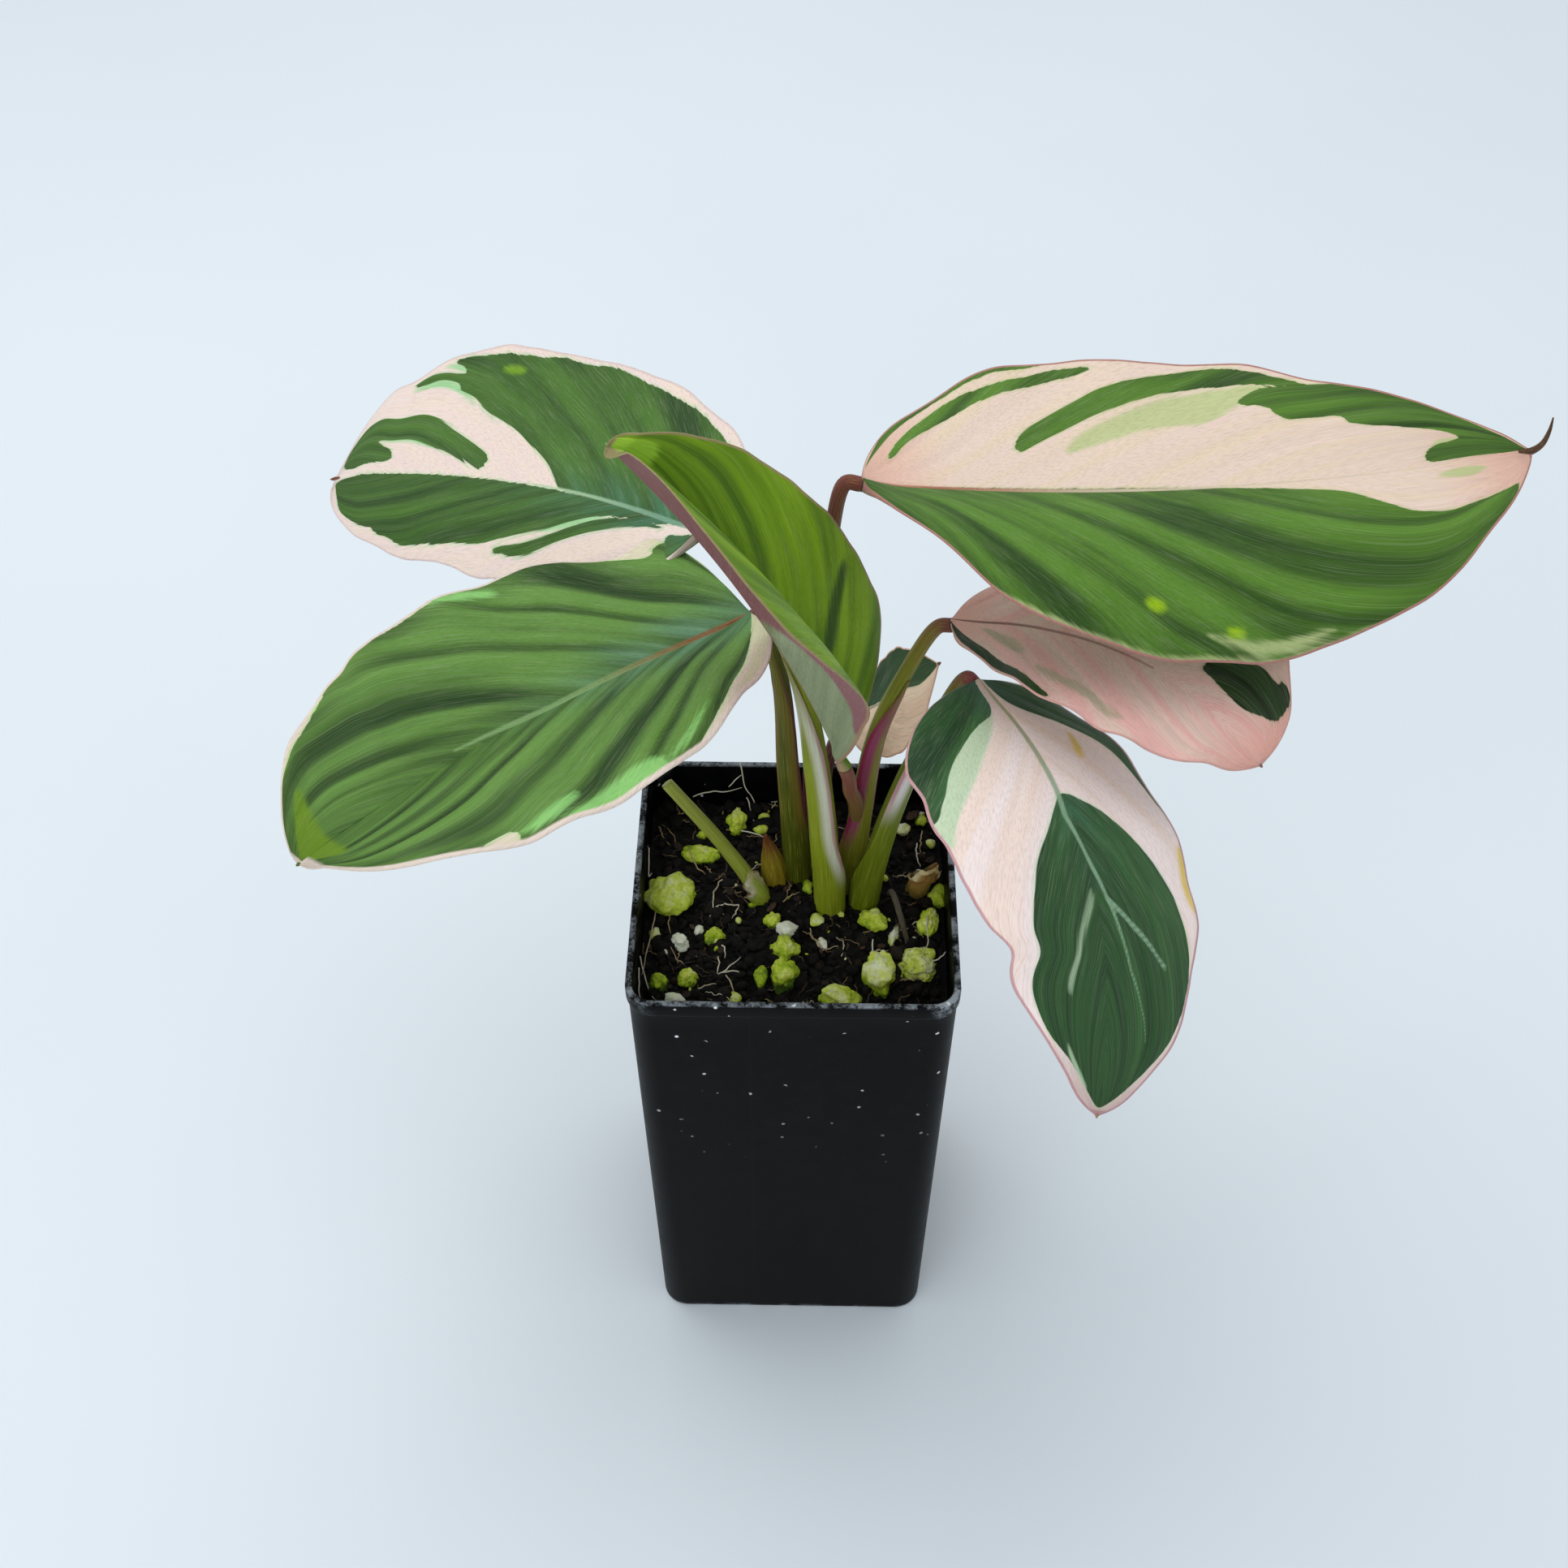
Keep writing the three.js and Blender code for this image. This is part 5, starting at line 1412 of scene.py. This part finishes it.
        ],
        mint=[
            [(0.87, -0.66), (0.92, -0.62), (0.955, -0.5), (0.95, -0.66), (0.9, -0.74)],
            [(0.55, -0.03), (0.6, -0.07), (0.7, -0.31), (0.79, -0.45), (0.74, -0.42), (0.64, -0.2)],
        ],
        stain=[
            [(0.17, 0.5), (0.2, 0.53), (0.26, 0.4), (0.24, 0.35)],
            [(0.44, 0.93), (0.5, 0.9), (0.58, 0.9), (0.6, 1.1), (0.46, 1.1)],
        ],
        ribs=[
            ([(0, 0.03), (0.15, -0.02), (0.33, -0.05), (0.4, -0.08), (0.5, 0.0), (0.59, 0.1),
              (0.72, 0.26), (0.85, 0.56)], (0.9, 0.15)),
            ([(0.58, 0.09), (0.63, 0.3), (0.67, 0.48), (0.705, 0.65)], (0.55, 0.4)),
        ],
        rims=(0.6, 0.55), ragged=0.8, stripe=0.25, painted_sheen_amount=0.6, pleats=7, tip=("blunt", "C89A7C"),
        tones="15341A 386632 F8E6E2 F4DCD0 E0C4BC BCD8B0 CFA0A2 A2A272 8AAE8C E6C86C 47786C"),
    "leaf_back_small": dict(
        green=[[(-0.1, 0.05), (0.4, 0.05), (0.6, 0.0), (0.7, -0.12), (0.8, -0.25), (0.97, -0.34),
                (1.1, 0), (1.0, 1.3), (0.4, 1.3), (-0.1, 1.3)]],
        ribs=[([(0, 0), (0.6, 0)], (0.6, 0.2))],
        rims=(0.4, 0.4), ragged=0.8, stripe=0.3, painted_sheen_amount=0.2, pleats=5, tip=("blunt", "7A5A44"),
        tones="1C3A12 345A26 F6DCC0 F0D0B6 F4D8BE A9BE90 DDB49C 7A4A44 A8A888 8AA04A 3F6A58"),
}
PINK_LEAVES = ("leaf_right_low", "leaf_front_right")

# Length and thickness of the dry point of the others, in mm
TIP_POINTS = {"mucro": (1.8, 0.5), "blunt": (0.5, 0.35)}
# The one long tip curls up: places from the end of the midrib, in mm, and thickness
TIP_TAIL = [(-2.5, 0, -0.4), (0, 0, 0.2), (1.8, 0.6, 1.4), (2.9, 1.8, 3.6), (3.3, 3, 6)]
TAIL_RADII = [0.7, 0.75, 0.6, 0.4, 0.15]
PLAIN_MARKS = dict(wash=[], mint=[], stain=[], painted_sheen_amount=0.0, lean=(0.35, 0.35))
DULL_SHARE = 0.45
DULL_TONE = "9A9A80"
FACE_GLOSS = 0.22
BACK_GLOSS = 0.15
# How much farther apart side veins lie at the margin than at the midrib, and how narrow valleys are
VEIN_SPREAD = 0.55
VALLEY_SHARP = 2.6
GROOVE_DEPTH = 0.22
JOINT_LENGTH = 9
# Distance in mm that stands for nothing near
FAR = 40.0


def blade_form(leaf, marks, share, across):
    """Upper and lower skin of a blade, then, at each point, the number of its side vein, the mm
    to its midrib and to its margin, and how far it lies on a ridge."""
    middle, normal, reach, wide = blade_grid(leaf, share, across)
    sweep = np.abs(across) ** 1.15
    lean = np.where(across >= 0, *marks["lean"])
    vein = (share - lean * sweep) / (1 + VEIN_SPREAD * sweep)
    to_margin = np.minimum(wide - reach, (1 - share) * leaf["length"] * 0.6)
    uneven = 0.22 * np.sin(11 * vein + np.sign(across)) + 0.12 * np.sin(29 * vein + 2 * across)
    wave = 0.5 + 0.5 * np.cos(2 * np.pi * (marks["pleats"] * vein + uneven))
    pleat = 1 - 2 * (1 - wave) ** VALLEY_SHARP
    calm = smooth(reach, 1, 9) * smooth(to_margin, 0.5, 7)
    lift = PLEAT_RISE * marks["stripe"] * pleat * calm

    fade = np.clip(1 - share * leaf["length"] / JOINT_LENGTH, 0, 1) ** 2
    body = MARGIN_HALF + (BLADE_HALF - MARGIN_HALF) * smooth(to_margin, 0, 2.5)
    body = body + (STALK_RADIUS - body) * fade * np.sqrt(np.clip(1 - across ** 2, 0, 1))
    rib = RIB_DEPTH * (1 - share) * np.exp(-((reach / 0.9) ** 2)) * (1 - fade)
    groove = GROOVE_DEPTH * (1 - share) * np.exp(-((reach / 0.8) ** 2)) * (1 - fade)
    upper = middle + normal * (lift + body - groove)[..., None]
    lower = middle + normal * (lift - body - rib)[..., None]
    return upper, lower, vein, reach, to_margin, pleat * calm


def deepest(outlines, leaf, spots):
    """Depth in mm inside the deepest of some outlines, at spots given by share and across."""
    depth = np.full(len(spots), -FAR)
    for outline in outlines:
        side = "left" if sum(point[1] for point in outline) >= 0 else "right"
        scale = np.array([leaf["length"], leaf[side][0]])
        depth = np.maximum(depth, depth_inside(outline, spots * scale, scale))
    return depth


def nearest_rib(ribs, leaf, spots):
    """Distance in mm outside the nearest of some drawn veins."""
    scale = np.array([leaf["length"], (leaf["left"][0] + leaf["right"][0]) / 2])
    line = np.full(len(spots), FAR)
    for route, taper in ribs:
        line = np.minimum(line, line_depth(route, spots * scale, scale, taper))
    return line


def leaf_tip(leaf, kind):
    """Points and radii of the dry point at the end of a blade."""
    end = midrib(leaf, np.array([1.0]))[0]
    if kind == "tail":
        return [end + np.array(step) for step in TIP_TAIL], TAIL_RADII
    along = leaf_axes(leaf, 1.0)[0]
    length, radius = TIP_POINTS[kind]
    points = [end + along * step * length for step in (-0.7, 0, 0.6, 1)]
    return points, [radius * 0.7, radius, radius * 0.7, 0.12]


# One grid for all blades, with its points closer together at both ends and at the margins
rows, columns = BLADE_ROWS, 2 * BLADE_COLUMNS + 1
even = np.linspace(0, 1, rows)
levels = 0.25 * even + 0.75 * (0.5 - 0.5 * np.cos(np.pi * even))
spread = np.linspace(-1, 1, columns)
share, across = np.meshgrid(levels, np.sign(spread) * np.abs(spread) ** 1.25, indexing="ij")
spots = np.stack([share.ravel(), across.ravel()], -1)
skin_size = (rows - 1) * (columns - 1)
blade_faces = grid_faces(rows, columns, flip=True) + grid_faces(rows, columns, first=rows * columns)
blade_faces += [face[::-1] for face in rim_faces(rows, columns)]
looks = np.zeros(len(blade_faces), dtype=np.int32)
looks[skin_size:2 * skin_size] = 1

for name, leaf in LEAVES.items():
    marks = {**PLAIN_MARKS, **MARKS[name]}
    leaf["dents"] = MARGIN_DENTS.get(name, [])
    upper, lower, vein, reach, to_margin, ridges = blade_form(leaf, marks, share, across)
    veins = np.stack([vein * leaf["length"], share, np.sign(across) * reach], -1).reshape(-1, 3)
    line = nearest_rib(marks["ribs"], leaf, spots)
    mint = deepest(marks["mint"], leaf, spots)
    green, wash = (deepest(marks[label], leaf, spots) for label in ("green", "wash"))
    skins_marks, skins_extras = [], []
    for side in ("", "under_"):
        stain = deepest(marks.get(side + "stain", marks["stain"]), leaf, spots)
        rims = np.where(across >= 0, *marks.get(side + "rims", marks["rims"]))
        rim = np.minimum(to_margin / rims, 9).ravel()
        skins_marks.append(np.stack([green, wash, rim], -1))
        skins_extras.append(np.stack([line, stain, ridges.ravel()], -1))

    tones = marks["tones"].split()
    below = [dull(code, DULL_SHARE, DULL_TONE) for code in tones]
    if "below" in marks:
        below = marks["below"].split()
    short = name.replace("leaf_", "")
    ragged, stripe = marks["ragged"], marks["stripe"]
    face = blade_look(f"blade_{short}", tones, ragged, stripe, marks["painted_sheen_amount"], FACE_GLOSS)
    back = blade_look(f"underside_{short}", below, ragged, stripe * 0.5, 0.0, BACK_GLOSS)
    skins = np.vstack([upper.reshape(-1, 3), lower.reshape(-1, 3)])
    blade = make_mesh(f"blade_{short}", skins, blade_faces, [face, back])
    blade.data.polygons.foreach_set("material_index", looks)
    store(blade, "veins", np.vstack([veins, veins]))
    store(blade, "marks", np.vstack(skins_marks))
    store(blade, "extras", np.vstack(skins_extras))
    store(blade, "mint", np.concatenate([mint, mint]))
    slot = "pink_blade" if name in PINK_LEAVES else "green_blade"
    settle(blade, slot, name)

    kind, code = marks["tip"]
    points, radii = leaf_tip(leaf, kind)
    skin = stalk_skin(points, radii, rows=24, ribs=0.02, sides=16)
    stem_piece(f"tip_{short}", skin, stem_look(f"tip_{short}", code, code, code), slot)
